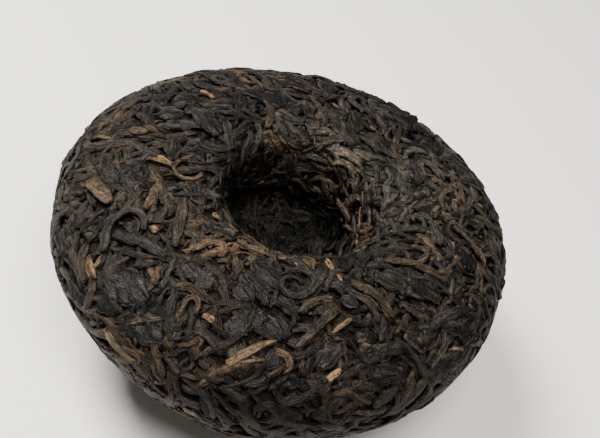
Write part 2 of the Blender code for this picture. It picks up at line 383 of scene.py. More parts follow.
TRACED_ROLLED = (
    (0.70, 0.95, 0.90, 0.90, 0.15, 0.00, (104, 253), (109, 230), (118, 218), (129, 212), (140, 215),
     (145, 223), (144, 231)),
    (0.95, 0.75, 0.60, 0.85, 0.00, 0.00, (115, 234), (128, 239), (141, 242), (153, 249), (167, 258)),
    (0.95, 0.60, 0.40, 0.55, 0.30, 0.00, (185, 198), (180, 220), (173, 246)),
    (0.45, 0.70, 0.25, 0.50, 0.60, 0.55, (146, 158), (160, 162), (176, 167)),
    (0.42, 0.80, 0.45, 0.50, 0.50, 0.85, (158, 157), (166, 161), (171, 163)),
    (0.60, 0.70, 0.15, 0.50, 0.40, 0.15, (146, 126), (152, 129), (158, 132)),
    (0.85, 0.60, 0.10, 0.60, 0.10, 0.00, (225, 118), (228, 133), (230, 151)),
    (0.50, 0.60, 0.20, 0.50, 0.60, 0.65, (199, 90), (207, 94), (214, 98)),
    (0.80, 0.55, 0.25, 0.40, 0.60, 0.50, (227, 365), (243, 356), (260, 347), (276, 341)),
    (0.60, 0.80, 0.15, 0.30, 0.50, 0.20, (198, 387), (218, 372), (243, 364), (265, 360)),
    (0.48, 0.90, 0.65, 0.60, 0.75, 0.05, (180, 318), (186, 302), (194, 298), (199, 305), (195, 315)),
    (0.75, 0.80, 0.50, 0.50, 0.50, 0.00, (176, 288), (189, 288), (201, 296), (210, 303)),
    (0.50, 0.70, 0.20, 0.40, 0.70, 0.60, (203, 315), (209, 318), (216, 320)),
    (0.60, 0.70, 0.30, 0.60, 0.90, 0.20, (149, 267), (153, 275), (155, 285)),
    (0.45, 0.70, 0.20, 0.50, 0.90, 0.15, (157, 266), (158, 274), (156, 284)),
    (0.85, 0.50, 0.10, 0.70, 0.50, 0.20, (103, 330), (113, 342), (124, 355), (133, 363)),
    (0.42, 0.70, 0.35, 0.50, 0.30, 1.00, (327, 259), (329, 264), (332, 269)),
    (0.42, 0.70, 0.35, 0.50, 0.30, 0.90, (338, 274), (341, 279), (343, 285)),
    (0.80, 0.80, 0.60, 0.60, 0.45, 0.00, (295, 350), (309, 337), (323, 323), (336, 310)),
    (0.55, 0.80, 0.25, 0.50, 0.70, 0.45, (333, 332), (342, 325), (351, 319)),
    (0.90, 0.75, 0.65, 0.50, 0.60, 0.00, (350, 284), (366, 290), (380, 302), (390, 318)),
    (0.60, 0.80, 0.50, 0.80, 0.10, 0.00, (346, 290), (362, 299), (373, 311), (379, 323)),
    (0.50, 0.95, 0.75, 0.95, 0.00, 0.00, (281, 276), (293, 272), (309, 275), (314, 285), (307, 295),
     (292, 297), (281, 289), (283, 280), (296, 279), (303, 285)),
    (0.70, 0.80, 0.15, 0.50, 0.50, 0.00, (300, 312), (310, 303), (322, 299), (333, 299)),
    (0.72, 0.80, 0.40, 0.50, 0.60, 0.00, (384, 261), (400, 262), (417, 266), (432, 273), (446, 281)),
    (0.45, 0.80, 0.25, 0.45, 0.60, 0.10, (421, 247), (427, 253), (424, 260), (415, 263)),
    (0.55, 0.70, 0.20, 0.50, 0.40, 0.85, (328, 380), (335, 374), (341, 370)),
    (0.45, 0.70, 0.20, 0.60, 0.40, 0.30, (449, 351), (456, 348), (464, 350)),
    (1.00, 0.60, 0.15, 0.45, 0.10, 0.00, (361, 353), (380, 350), (402, 347)),
    (0.55, 0.80, 0.20, 0.40, 0.80, 0.15, (276, 352), (287, 356), (290, 366), (283, 373)),
    (0.45, 0.80, 0.20, 0.50, 0.60, 0.10, (453, 226), (462, 232), (470, 242), (480, 256)),
    (0.50, 0.70, 0.15, 0.60, 0.70, 0.10, (471, 243), (480, 253), (486, 267)),
    (0.50, 0.60, 0.15, 0.50, 0.60, 0.35, (333, 103), (339, 107)),
    (0.45, 0.60, 0.15, 0.50, 0.60, 0.40, (356, 197), (362, 201)),
    (0.45, 0.60, 0.15, 0.50, 0.60, 0.35, (402, 172), (409, 175)),
    (0.45, 0.60, 0.15, 0.50, 0.60, 0.35, (369, 126), (376, 129)),
    (0.40, 0.60, 0.15, 0.50, 0.60, 0.40, (454, 199), (460, 202)),
    (0.40, 0.60, 0.15, 0.50, 0.60, 0.40, (478, 203), (482, 208)),
    (0.70, 0.60, 0.25, 0.50, 0.70, 0.10, (322, 175), (325, 187), (329, 199)),
    (0.40, 0.80, 0.25, 0.80, 0.20, 0.10, (388, 214), (393, 209), (398, 212)),
    (0.60, 0.60, 0.30, 0.60, 0.90, 0.28, (89, 256), (92, 266), (95, 278)),
    (0.75, 0.70, 0.10, 0.50, 0.40, 0.00, (86, 245), (80, 262), (84, 282)),
    (0.50, 0.70, 0.20, 0.50, 0.60, 0.50, (213, 214), (217, 217), (221, 219)),
    (0.55, 0.60, 0.15, 0.50, 0.80, 0.25, (97, 136), (104, 138), (112, 139)),
    (0.70, 0.60, 0.15, 0.55, 0.40, 0.05, (120, 214), (130, 203), (141, 190)),
    (0.75, 0.60, 0.10, 0.50, 0.80, 0.05, (145, 208), (152, 197), (156, 184)),
    (0.75, 0.60, 0.10, 0.50, 0.60, 0.05, (268, 101), (271, 113), (267, 126)),
    (0.80, 0.50, 0.10, 0.50, 0.95, 0.25, (183, 408), (194, 414), (206, 418)),
)

TRACED_FLAT = (
    (1.10, 0.15, -0.45, 0.00, 0.00, 0.00, (125, 219), (130, 222), (136, 228)),
    (0.90, 0.15, -0.60, 0.00, 0.00, 0.00, (290, 283), (296, 285), (302, 287)),
    (0.80, 0.15, -0.45, 0.00, 0.00, 0.00, (403, 253), (410, 256), (416, 258)),
    (0.80, 0.15, -0.45, 0.00, 0.00, 0.00, (184, 312), (188, 310), (192, 308)),
    (0.80, 0.15, -0.40, 0.00, 0.00, 0.00, (128, 205), (134, 203), (140, 205)),
    (0.80, 0.15, -0.40, 0.00, 0.00, 0.00, (390, 318), (396, 316), (404, 313)),
    (0.80, 0.15, -0.40, 0.00, 0.00, 0.00, (196, 122), (199, 120), (203, 119)),
    (2.10, 0.12, 0.25, 0.45, 0.00, 0.00, (172, 102), (187, 100), (203, 101)),
    (1.70, 0.12, 0.20, 0.55, 0.00, 0.00, (160, 116), (172, 113), (185, 113)),
    (2.50, 0.10, 0.20, 0.30, 0.00, 0.00, (118, 272), (130, 284), (143, 300)),
    (1.90, 0.12, 0.20, 0.35, 0.00, 0.00, (256, 262), (270, 274), (287, 288)),
    (1.60, 0.12, 0.15, 0.30, 0.00, 0.00, (236, 284), (244, 292), (252, 301)),
    (1.50, 0.12, 0.15, 0.40, 0.00, 0.00, (186, 262), (192, 270), (199, 280)),
    (1.70, 0.12, 0.15, 0.25, 0.00, 0.00, (100, 292), (106, 302), (114, 313)),
    (1.40, 0.12, 0.15, 0.30, 0.00, 0.00, (228, 318), (233, 328), (238, 338)),
    (1.60, 0.12, 0.15, 0.30, 0.00, 0.00, (272, 320), (280, 328), (286, 338)),
    (1.60, 0.12, 0.20, 0.35, 0.00, 0.00, (201, 290), (208, 278), (218, 268)),
    (0.80, 0.35, 0.30, 0.50, 0.90, 0.65, (150, 232), (156, 228), (163, 224)),
    (2.10, 0.34, 0.50, 0.30, 0.20, 0.00, (377, 278), (397, 284), (418, 291), (439, 299)),
    (1.40, 0.45, 0.45, 0.90, 0.00, 0.00, (343, 301), (349, 303), (356, 305)),
    (1.30, 0.25, 0.25, 0.50, 0.70, 0.10, (361, 290), (378, 300), (391, 317)),
    (1.50, 0.18, 0.25, 0.60, 0.25, 0.10, (357, 343), (366, 340), (377, 341)),
    (2.00, 0.12, 0.20, 0.35, 0.20, 0.00, (405, 335), (425, 340), (440, 330)),
    (2.00, 0.12, 0.20, 0.30, 0.15, 0.00, (338, 340), (330, 352), (318, 366)),
    (1.80, 0.14, 0.20, 0.40, 0.20, 0.00, (372, 376), (388, 372), (402, 372)),
    (1.70, 0.14, 0.20, 0.60, 0.30, 0.00, (205, 190), (222, 194), (238, 202)),
    (2.00, 0.12, 0.20, 0.50, 0.10, 0.00, (60, 228), (64, 240), (70, 252)),
)

TRACED_FLAKES = (
    (1.40, 0.12, 0.80, 0.60, 0.60, 0.85, (90, 181), (100, 192), (110, 203)),
    (1.20, 0.18, 0.75, 0.60, 0.40, 0.50, (130, 132), (138, 132), (147, 133)),
)

PROUD_LEAF = (
    (0.90, 0.30, 1.90, 0.40, 0.20, 0.00, (402, 135), (407, 129), (412, 124)),
)

# Parts of the cake with a colour of their own, and painted light and shade: the pixel at the
# middle, reach in mm, then what is added to the grey bloom, to the warmth and to the brightness.
# The bloom and the warmth are mostly the cake's own colour there. The brightness is painted light
# and shade: darker low on the near side, on the hollow's left wall and near floor, lighter on the
# hollow's far and right walls and on its near lip

HUES_AND_PAINTED_LIGHT = (
    (115, 355, 6, -0.20, 0.50, -0.15), (150, 385, 6, -0.20, 0.90, -0.20), (195, 412, 7, -0.30, 0.90, -0.25),
    (250, 428, 9, -0.40, 1.20, -0.58), (330, 428, 9, -0.40, 0.90, -0.60), (400, 410, 7, -0.20, 0.20, -0.40),
    (215, 385, 8, -0.20, 0.90, -0.14), (300, 392, 9, -0.25, 0.80, -0.24), (235, 252, 5, 0.00, 0.60, 0.55),
    (205, 236, 4, 0.10, 0.30, 0.20), (150, 290, 7, 0.00, -0.40, 0.00), (265, 332, 13, -0.05, 0.10, -0.34),
    (195, 108, 8, 0.05, -0.30, -0.40), (360, 245, 5, 0.00, 0.30, 0.10), (110, 150, 7, 0.10, 0.20, 0.00),
    (290, 215, 12, 0.10, -0.60, -0.05), (322, 165, 8, 0.10, 0.10, 0.40), (230, 186, 6, -0.30, 0.00, -0.80),
    (288, 172, 6, 0.10, -0.20, 1.20), (332, 188, 7, 0.15, 0.30, 1.00), (380, 180, 9, 0.10, 0.00, 0.25),
    (330, 256, 5, 0.00, 0.20, 0.35), (98, 288, 6, 0.05, 0.00, 0.20), (440, 190, 16, 0.15, -0.20, 0.50),
    (300, 90, 8, 0.10, 0.00, 0.00), (60, 255, 6, 0.00, 0.00, -0.20), (385, 315, 10, 0.00, 0.00, -0.32),
    (296, 258, 3, 0.00, 0.50, 0.80), (268, 250, 3, 0.00, 0.40, 0.55), (300, 243, 4, -0.20, 0.00, -0.75),
    (238, 206, 4, -0.10, 0.00, -0.60), (290, 208, 4, 0.00, 0.00, 0.35), (348, 218, 4, 0.15, 0.20, 1.10),
)


# The mould's form

def quarter(start, end, fullness, bulge_first, count):
    """A quarter of a superellipse from start to end, each (radius, height), end left out."""
    points = []
    for i in range(count):
        turn = math.pi / 2 * i / count
        over = math.sin(turn) ** (2 / fullness)
        up = 1 - math.cos(turn) ** (2 / fullness)
        if not bulge_first:
            over, up = up, over
        points.append((start[0] + (end[0] - start[0]) * over, start[1] + (end[1] - start[1]) * up))
    return points


def profile_line(s, count):
    """The mould's half section as (radius, height) points, foot to pocket floor."""
    belly = (s.diameter / 2, s.belly_height)
    crest = (s.crest_radius, s.height)
    lip = (s.lip_radius, s.height - s.lip_depth)
    neck = (s.neck_radius, s.neck_height)
    pocket = (s.pocket_radius, s.pocket_height)
    line = [(0.0, 0.0), (s.foot_radius * 0.55, 0.0)]
    line += quarter((s.foot_radius, 0.0), belly, s.dome_fullness, True, round(count * DOME_POINTS))
    line += quarter(belly, crest, s.rim_fullness, False, round(count * RIM_POINTS))
    steps = round(count * LIP_POINTS)
    line += quarter(crest, lip, 2, True, steps)
    for first, second in ((lip, neck), (neck, pocket)):
        for i in range(steps):
            ease = (1 - math.cos(math.pi * i / steps)) / 2
            radius = first[0] + (second[0] - first[0]) * ease
            line.append((radius, first[1] + (second[1] - first[1]) * i / steps))
    line += quarter(pocket, (0.0, s.pocket_floor), 2, False, round(count * POCKET_POINTS))
    line.append((0.0, s.pocket_floor))
    return line


def evenly(line, count):
    """The same line, resampled at count points an equal distance apart."""
    points = np.array(line)
    travel = np.concatenate([[0], np.cumsum(np.linalg.norm(np.diff(points, axis=0), axis=1))])
    wanted = np.linspace(0, travel[-1], count)
    return np.stack([np.interp(wanted, travel, column) for column in points.T], axis=1)


def smooth(low, high, value):
    """0 below low and 1 above high, with an eased climb between them."""
    share = np.clip((value - low) / (high - low), 0.0, 1.0)
    return share * share * (3 - 2 * share)


def noise_at(points, spacing):
    """Smooth noise between about -1 and 1 at each point."""
    scaled = np.asarray(points) / spacing
    return np.array([noise.noise(Vector(p)) for p in scaled.tolist()])


class Mould:
    """The turned form that the leaves are pressed against, and what hand pressing makes of it."""

    def __init__(self, sizes, count=600):
        self.sizes = sizes
        self.line = evenly(profile_line(sizes, count=400), count)
        along = np.gradient(self.line, axis=0)
        along /= np.linalg.norm(along, axis=1)[:, None]
        self.out = np.stack([along[:, 1], -along[:, 0]], axis=1)
        self.step = float(np.hypot(*(self.line[1] - self.line[0])))

    def place(self, k, turn, depth=0.0):
        """A point over the k-th point of the section, turned round the axis."""
        radius, height = self.line[k] + self.out[k] * depth
        return Vector((radius * math.cos(turn), radius * math.sin(turn), height))

    def nearest(self, point):
        """(foot on the mould, outward normal) of a point."""
        radius = math.hypot(point.x, point.y)
        gap = (self.line[:, 0] - radius) ** 2 + (self.line[:, 1] - point.z) ** 2
        k = int(gap.argmin())
        out, up = self.out[k].tolist()
        if radius > 1e-9:
            normal = Vector((out * point.x / radius, out * point.y / radius, up))
        else:
            normal = Vector((0.0, 0.0, up))
        on_radius, on_height = self.line[k].tolist()
        height = (radius - on_radius) * out + (point.z - on_height) * up
        return point - normal * height, normal

    def hand_pressed(self, points):
        """Moves points of the turned form to where uneven pressing leaves them."""
        s = self.sizes
        points = np.atleast_2d(np.asarray(points, dtype=float))
        x, y, z = points.T
        turn = np.arctan2(y, x)
        radius = np.hypot(x, y)
        reach = radius / (s.diameter / 2)
        lift = z / s.height
        raised = smooth(0.0, FOOT_STILL, lift)
        lobes = 0
        for n, (a, b) in ((2, s.two_lobes), (3, s.three_lobes)):
            lobes = lobes + a * np.cos(n * turn) + b * np.sin(n * turn)
        moved = points * np.stack([1 + lobes * reach, 1 + lobes * reach, np.ones_like(z)], axis=1)
        moved[:, 0] += s.belly_shift[0] * reach * raised
        moved[:, 1] += s.belly_shift[1] * reach * raised
        lean = s.rim_lean[0] * np.cos(turn) + s.rim_lean[1] * np.sin(turn)
        moved[:, 2] += lean * reach * lift * lift
        inner = 1 - smooth(s.crest_radius * HOLLOW_WHOLE, s.diameter * HOLLOW_NONE, radius)
        inner = inner * smooth(s.pocket_floor * FLOOR_STILL, s.pocket_floor, z)
        deep = 1 - smooth(s.pocket_height, s.height - s.lip_depth, z)
        for k in (0, 1):
            moved[:, k] += inner * (s.mouth_shift[k] + deep * s.pocket_shift[k])
        ring = (np.cos(turn) * HEART_RADIUS, np.sin(turn) * HEART_RADIUS)
        heart = np.stack([*ring, np.full_like(z, HEART_HEIGHT)], axis=1)
        outward = points - heart
        outward /= np.linalg.norm(outward, axis=1)[:, None]
        dent = noise_at(points, s.dent_spacing) * s.dent_depth * raised
        return moved + outward * dent[:, None]

    def unpressed(self, points, rounds=4):
        """Where points of the pressed form were on the turned one."""
        points = np.atleast_2d(np.asarray(points, dtype=float))
        found = points.copy()
        for _ in range(rounds):
            found += points - self.hand_pressed(found)
        return found


def skin(mould, depth, rings, around):
    """Points and faces of the pressed form, moved outward by a depth and closed at both ends."""
    ks = np.linspace(0, len(mould.line) - 1, rings).round().astype(int)
    turns = np.arange(around) * 2 * math.pi / around
    places = [mould.place(ks[0], 0.0, depth)]
    for k in ks[1:-1]:
        places += [mould.place(k, t, depth) for t in turns]
    places.append(mould.place(ks[-1], 0.0, depth))
    last = len(places) - 1
    faces = []
    for i in range(rings - 2):
        row = 1 + i * around
        for j in range(around):
            a, b = row + j, row + (j + 1) % around
            if i == 0:
                faces.append((0, b, a))
            if i == rings - 3:
                faces.append((a, b, last))
            else:
                faces.append((a, b, b + around, a + around))
    return mould.hand_pressed(np.array(places)), faces


class Sight:
    """Finds the places on the turned form that pixels of the photograph show."""

    def __init__(self, camera, mould):
        self.mould = mould
        points, faces = skin(mould, depth=0.0, rings=160, around=160)
        self.surface = BVHTree.FromPolygons(points.tolist(), faces)
        self.eye = camera.matrix_world.translation.copy()
        self.turn = camera.matrix_world.to_3x3()
        self.focal = camera.data.lens / camera.data.sensor_width * PICTURE[0]

    def spot(self, x, y):
        """The place that a pixel shows, or the nearest one where it shows none."""
        ray = Vector(((x - PICTURE[0] / 2) / self.focal, (PICTURE[1] / 2 - y) / self.focal, -1.0))
        ray = (self.turn @ ray).normalized()
        hit = self.surface.ray_cast(self.eye, ray)[0]
        if hit is None:
            hit = self.surface.find_nearest(self.eye - ray * self.eye.dot(ray))[0]
        return self.mould.unpressed(hit)[0]

    def trace(self, pixels, step, parts=8):
        """Feet and normals along a rounded line through some pixels."""
        marks = np.array([self.spot(x, y) for x, y in pixels])
        marks = np.concatenate([[2 * marks[0] - marks[1]], marks, [2 * marks[-1] - marks[-2]]])
        line = []
        for a, b, c, d in zip(marks, marks[1:], marks[2:], marks[3:]):
            second = a * 2 - b * 5 + c * 4 - d
            third = b * 3 - a - c * 3 + d
            for t in np.arange(parts) / parts:
                line.append(b + (c - a) * t / 2 + second * t**2 / 2 + third * t**3 / 2)
        line.append(marks[-2])
        length = np.linalg.norm(np.diff(line, axis=0), axis=1).sum()
        line = evenly(line, max(6, round(length / step)))
        found = [self.mould.nearest(Vector(p)) for p in line]
        return [foot for foot, normal in found], [normal for foot, normal in found], float(length)


# Node trees as sums

def is_vector(term):
    """Whether a term of a sum is a vector, as a wire or as three numbers."""
    if isinstance(term, Wire):
        return term.socket.type == "VECTOR"
    return isinstance(term, tuple)


class Wire:
    """A node socket that takes part in sums: each sum adds its own Math or Vector Math node."""

    def __init__(self, bench, socket):
        self.bench = bench
        self.socket = socket

    def sum(self, operation, *others, flip=False):
        terms = [*others, self] if flip else [self, *others]
        kind = "ShaderNodeVectorMath" if any(map(is_vector, terms)) else "ShaderNodeMath"
        return self.bench.add(kind, {"operation": operation}, dict(enumerate(terms)))

    def scaled(self, factor):
        sockets = {0: self, "Scale": factor}
        return self.bench.add("ShaderNodeVectorMath", {"operation": "SCALE"}, sockets)

    def dot(self, other):
        sockets = {0: self, 1: other}
        return self.bench.add("ShaderNodeVectorMath", {"operation": "DOT_PRODUCT"}, sockets, "Value")

    def between(self, low, high):
        return self.sum("MAXIMUM", low).sum("MINIMUM", high)

    def __add__(self, other):
        return self.sum("ADD", other)

    def __radd__(self, other):
        return self.sum("ADD", other)

    def __sub__(self, other):
        return self.sum("SUBTRACT", other)

    def __rsub__(self, other):
        return self.sum("SUBTRACT", other, flip=True)

    def __mul__(self, other):
        return self.sum("MULTIPLY", other)

    def __rmul__(self, other):
        return self.sum("MULTIPLY", other)

    def __truediv__(self, other):
        return self.sum("DIVIDE", other)

    def __rtruediv__(self, other):
        return self.sum("DIVIDE", other, flip=True)


class Bench:
    """A node tree that is being built."""

    def __init__(self, tree):
        self.tree = tree

    def add(self, kind, settings=None, sockets=None, output=0):
        """Adds a node: its settings first, then each socket's value or link."""
        node = self.tree.nodes.new(kind)
        for name, value in (settings or {}).items():
            if name == "captures":
                for kind_of, label in value:
                    node.capture_items.new(kind_of, label)
            else:
                setattr(node, name, value)
        for name, value in (sockets or {}).items():
            socket = node.inputs[name]
            if isinstance(value, Wire):
                self.tree.links.new(value.socket, socket)
            else:
                socket.default_value = value
        return Wire(self, node.outputs[output]) if len(node.outputs) else None

    def other(self, wire, name):
        """Another output of the node that a wire comes from."""
        return Wire(self, wire.socket.node.outputs[name])

    def mix(self, share, first, second, blend="MIX"):
        """Mixes two colours, each a wire or (red, green, blue)."""
        first, second = (c if isinstance(c, Wire) else (*c, 1.0) for c in (first, second))
        settings = {"data_type": "RGBA", "blend_type": blend, "clamp_factor": True}
        return self.add("ShaderNodeMix", settings, {0: share, 6: first, 7: second}, 2)

    def noisy(self, place, scale=1.0, detail=1.0, output=0):
        """Smooth noise over a place, as a number or, by its Color output, as a vector."""
        sockets = {"Vector": place, "Scale": scale, "Detail": detail}
        return self.add("ShaderNodeTexNoise", None, sockets, output)

    def vector(self, x, y, z):
        return self.add("ShaderNodeCombineXYZ", None, {0: x, 1: y, 2: z})

    def named(self, label, kind="FLOAT"):
        """A value that a mesh keeps under a name, in a tree that builds geometry."""
        return self.add("GeometryNodeInputNamedAttribute", {"data_type": kind}, {"Name": label})

    def stored(self, geometry, label, value, kind="FLOAT"):
        """The geometry, with a value kept on its points under a name."""
        settings = {"data_type": kind, "domain": "POINT"}
        sockets = {"Geometry": geometry, "Name": label, "Value": value}
        return self.add("GeometryNodeStoreNamedAttribute", settings, sockets)


# Leaves

class Leaf:
    """One leaf's path: feet on the mould, and what the section is at each of them."""

    def __init__(self, feet, outs, half_width, depth, twist, flatness, tint, warmth, gold, shade):
        self.feet = feet
        self.outs = outs
        self.half_width = half_width
        self.depth = depth
        self.twist = twist
        self.flatness = flatness
        self.tint = tint
        self.warmth = warmth
        self.gold = gold
        self.shade = shade
        self.rise = 0.0


class Bed:
    """The cake's surface as leaves are laid on it, with what each layer already covers."""

    def __init__(self, mould, spacing=0.00055):
        self.mould = mould
        spots = []
        rings = int(round((len(mould.line) - 1) * mould.step / spacing))
        for i in range(rings + 1):
            k = min(len(mould.line) - 1, round(i * spacing / mould.step))
            around = max(1, round(2 * math.pi * mould.line[k, 0] / spacing))
            spots += [mould.place(k, 2 * math.pi * (j + i % 2 / 2) / around) for j in range(around)]
        self.spots = spots
        self.tree = kdtree.KDTree(len(spots))
        for i, spot in enumerate(spots):
            self.tree.insert(spot, i)
        self.tree.balance()
        self.covered = {}
        self.leaves = 0
        self.hues_and_painted_light = []

    def layer(self, name):
        return self.covered.setdefault(name, bytearray(len(self.spots)))

    def under(self, leaf, share=0.9, least=0.0003):
        """The spots that a leaf covers."""
        found = set()
        for foot, reach in zip(leaf.feet, leaf.half_width):
            found.update(i for _, i, _ in self.tree.find_range(foot, max(reach * share, least)))
        return found

    def hue(self, middle):
        """What the part of the cake round a place adds to grey bloom, warmth and brightness. The brightness
        is painted light and shade.
        """
        found = np.zeros(3)
        for place, reach, change in self.hues_and_painted_light:
            found += np.array(change) * math.exp(-((middle - place).length / reach) ** 2)
        return found

    def fits(self, found, name, most):
        """Whether the layer covers at most a share of some spots."""
        cover = self.layer(name)
        return sum(cover[i] for i in found) <= most * len(found)

    def lay(self, found, name):
        cover = self.layer(name)
        for i in found:
            cover[i] = 1

    def bare_spot(self, name, draw, draws=12):
        """A spot that the layer doesn't cover yet, as far as a few draws find one."""
        cover = self.layer(name)
        for _ in range(draws):
            i = draw.randrange(len(self.spots))
            if not cover[i]:
                break
        return self.spots[i]


def flow(point, normal, spread, draw):
    """A heading on the surface: leaves near each other mostly lie the same way."""
    round_way = Vector((-point.y, point.x, 0.0))
    if round_way.length < 1e-6:
        round_way = Vector((1.0, 0.0, 0.0))
    round_way.normalize()
    up_way = normal.cross(round_way).normalized()
    swirl = noise.noise(point / SWIRL_SPACING) * SWIRL_TURN
    ripple = noise.noise(point / RIPPLE_SPACING + Vector(RIPPLE_START)) * RIPPLE_TURN
    angle = swirl + ripple + draw.gauss(0.0, spread)
    if math.hypot(point.x, point.y) > FLANK_RADIUS:
        angle *= FLANK_TURN + (1 - FLANK_TURN) * float(smooth(*FLANK_HEIGHTS, point.z))
    return round_way * math.cos(angle) + up_way * math.sin(angle)


def walk(mould, start, heading, count, step, turn_at):
    """Feet and normals of count steps over the mould, with a turn after each."""
    foot, normal = mould.nearest(start)
    way = (heading - normal * heading.dot(normal)).normalized()
    feet, outs = [foot], [normal]
    for i in range(count):
        foot, normal = mould.nearest(foot + way * step)
        way = (way - normal * way.dot(normal)).normalized()
        way = Matrix.Rotation(turn_at(i), 3, normal) @ way
        feet.append(foot)
        outs.append(normal)
    return feet, outs


def trail(mould, start, heading, length, step, bend, draw, hook=0.0):
    """A path that bends unevenly as it goes, and turns into a hook at its end where it has one."""
    count = max(FEWEST_STEPS, round(length / step))
    step = length / count
    lean = draw.gauss(0.0, bend)
    own = draw.uniform(0, NOISE_REACH)

    def turn_at(i):
        kink = noise.noise(Vector((i * step / KINK_SPACING, own, 0.5))) * bend * KINK_SHARE
        return (lean + kink + hook * smooth(HOOK_START, 1.0, i / count)) * step / MM

    return walk(mould, start, heading, count, step, turn_at)


def curl_trail(mould, start, heading, length, loop, draw):
    """A path that turns into a hook or loop of about the given radius, in millimetres."""
    count = max(CURL_FEWEST_STEPS, round(length / CURL_STEP))
    step = length / count
    painted_low_side_shade = draw.choice((-1, 1))
    straight = draw.uniform(*CURL_START)

    def turn_at(i):
        tightness = smooth(straight - CURL_EASE, straight + CURL_EASE, i / count)
        return painted_low_side_shade * tightness / loop * step / MM

    return walk(mould, start, heading, count, step, turn_at)


def taper(shares, tip, tail):
    """How wide a leaf is along its length, as a share: full in the middle, less at its ends."""
    rise = tail + (1 - tail) * smooth(0.0, TAIL_REACH, shares)
    fall = tip + (1 - tip) * smooth(0.0, TIP_REACH, 1 - shares)
    return rise * fall


def shaped(kind, feet, outs, length, half_width, depth, draw, style):
    """A leaf of uneven width and depth along a path."""
    shares = np.linspace(0, 1, len(feet))
    spread = (style.get(end, 0.5) * draw.uniform(*END_SPREAD) for end in ("tip", "tail"))
    tip, tail = (min(1.0, width) for width in spread)
    own = draw.uniform(0, NOISE_REACH)
    lumps = [noise.noise(Vector((share * length / LUMP_SPACING, own, 3.5))) for share in shares]
    uneven = 1 + style.get("lumps", 0.30) * np.array(lumps)
    widths = half_width * taper(shares, tip, tail) * uneven
    sway = draw.uniform(0, 2 * math.pi)
    depths = depth + shares**2 * style.get("lift", 0.0)
    depths = depths + SWAY * np.sin(sway + shares * length / SWAY_SPACING)
    depths = depths - END_DIP * np.abs(shares * 2 - 1) ** 4
    twist = draw.uniform(0, 2 * math.pi) + shares * length / MM * kind.twist * draw.gauss(0.0, 1.0)
    tint = draw.gauss(*TINT)
    warmth = draw.gauss(*WARMTH)
    gold = draw.uniform(*TINGED_GOLD) if draw.random() < TINGED else 0.0
    if style.get("gold"):
        gold = draw.uniform(*BUD_GOLD)
    flatness = draw.uniform(*kind.flatness)
    shade = draw.uniform(*SHADE)
    return Leaf(feet, outs, widths, depths, twist, flatness, tint, warmth, gold, shade)


def make_leaf(mould, kind, start, heading, depth, draw, style):
    """A leaf of one kind, its sizes and path drawn at random."""
    length = draw.uniform(*kind.length)
    thin, wide = kind.half_width
    half_width = thin + (wide - thin) * draw.random() ** WIDTH_SKEW
    if style.get("curl"):
        loop = draw.uniform(*CURL_RADIUS)
        feet, outs = curl_trail(mould, start, heading, length, loop, draw)
    else:
        hook = draw.choice((-1, 1)) * draw.uniform(*HOOK_TURN) if draw.random() < HOOKED else 0.0
        step = style.get("step", 0.0010)
        feet, outs = trail(mould, start, heading, length, step, kind.bend, draw, hook)
    return shaped(kind, feet, outs, length, half_width, depth, draw, style)


def lay_kind(bed, kind, layers, style, seed):
    """Lays one kind of leaf in each (layer, depth, most overlap, share of the count).

    A style's near and far say which share of its leaves is left out on that side.
    """
    draw = random.Random(seed)
    leaves = []
    for layer, depth, most, part in layers:
        wanted = round(kind.count * part)
        for _ in range(wanted * DRAWS):
            if wanted <= 0:
                break
            start = bed.bare_spot(layer, draw)
            if draw.random() < style.get("near" if start.y < NEAR_SIDE else "far", 0.0):
                continue
            foot, normal = bed.mould.nearest(start)
            heading = flow(foot, normal, style.get("spread", 0.45), draw)
            deep = depth + draw.uniform(-DEPTH_SPREAD, DEPTH_SPREAD)
            leaf = make_leaf(bed.mould, kind, foot, heading, deep, draw, style)
            found = bed.under(leaf)
            if bed.fits(found, layer, most):
                bed.lay(found, layer)
                # Painted light and shade: the brightness that the part of the cake adds, and lower layers
                # made darker where shade falls under the leaves above
                tint, warmth, light = bed.hue(leaf.feet[len(leaf.feet) // 2])
                leaf.tint += tint
                leaf.warmth += warmth
                leaf.shade = (leaf.shade + light) * LAYER_SHADE[layer]
                leaf.rise = MOST_PROUD * draw.random() ** 3
                leaf.depth = leaf.depth + leaf.rise * PROUD_LIFT
                leaves.append(leaf)
                wanted -= 1
    return leaves


def store(mesh, label, values, kind="FLOAT"):
    """Keeps a number or a vector for each point of a mesh under a name."""
    field = "value" if kind == "FLOAT" else "vector"
    values = np.asarray(values, dtype=np.float32)
    mesh.attributes.new(label, kind, "POINT").data.foreach_set(field, values.ravel())


def paths_mesh(name, bed, leaves):
    """One edge chain for each leaf, with its sizes and tints as attributes of its points."""
    counts = [len(leaf.feet) for leaf in leaves]

    def each(label, most=1.0):
        return np.repeat([getattr(leaf, label) for leaf in leaves], counts).clip(0, most)

    def joined(label):
        return np.concatenate([getattr(leaf, label) for leaf in leaves])

    feet = joined("feet")
    outs = joined("outs")
    depth = joined("depth")
    centres = bed.mould.hand_pressed(feet + outs * depth[:, None])
    rises = np.repeat([leaf.rise for leaf in leaves], counts)
    level = LEVEL + LEVEL_SWELL * noise_at(feet, LEVEL_SPACING) + rises
    edges = []
    start = 0
    for count in counts:
        edges += [(start + i, start + i + 1) for i in range(count - 1)]
        start += count
    mesh = bpy.data.meshes.new(name)
    mesh.from_pydata(centres.tolist(), edges, [])
    store(mesh, "half_width", joined("half_width"))
    store(mesh, "twist", joined("twist"))
    store(mesh, "ceiling", level - depth)
    for label in ("flatness", "tint", "warmth", "gold"):
        store(mesh, label, each(label))
    store(mesh, "shade", each("shade", most=2.0))
    store(mesh, "number", np.repeat(np.arange(len(leaves)) + bed.leaves, counts))
    store(mesh, "out", outs, "FLOAT_VECTOR")
    bed.leaves += len(leaves)
    return mesh


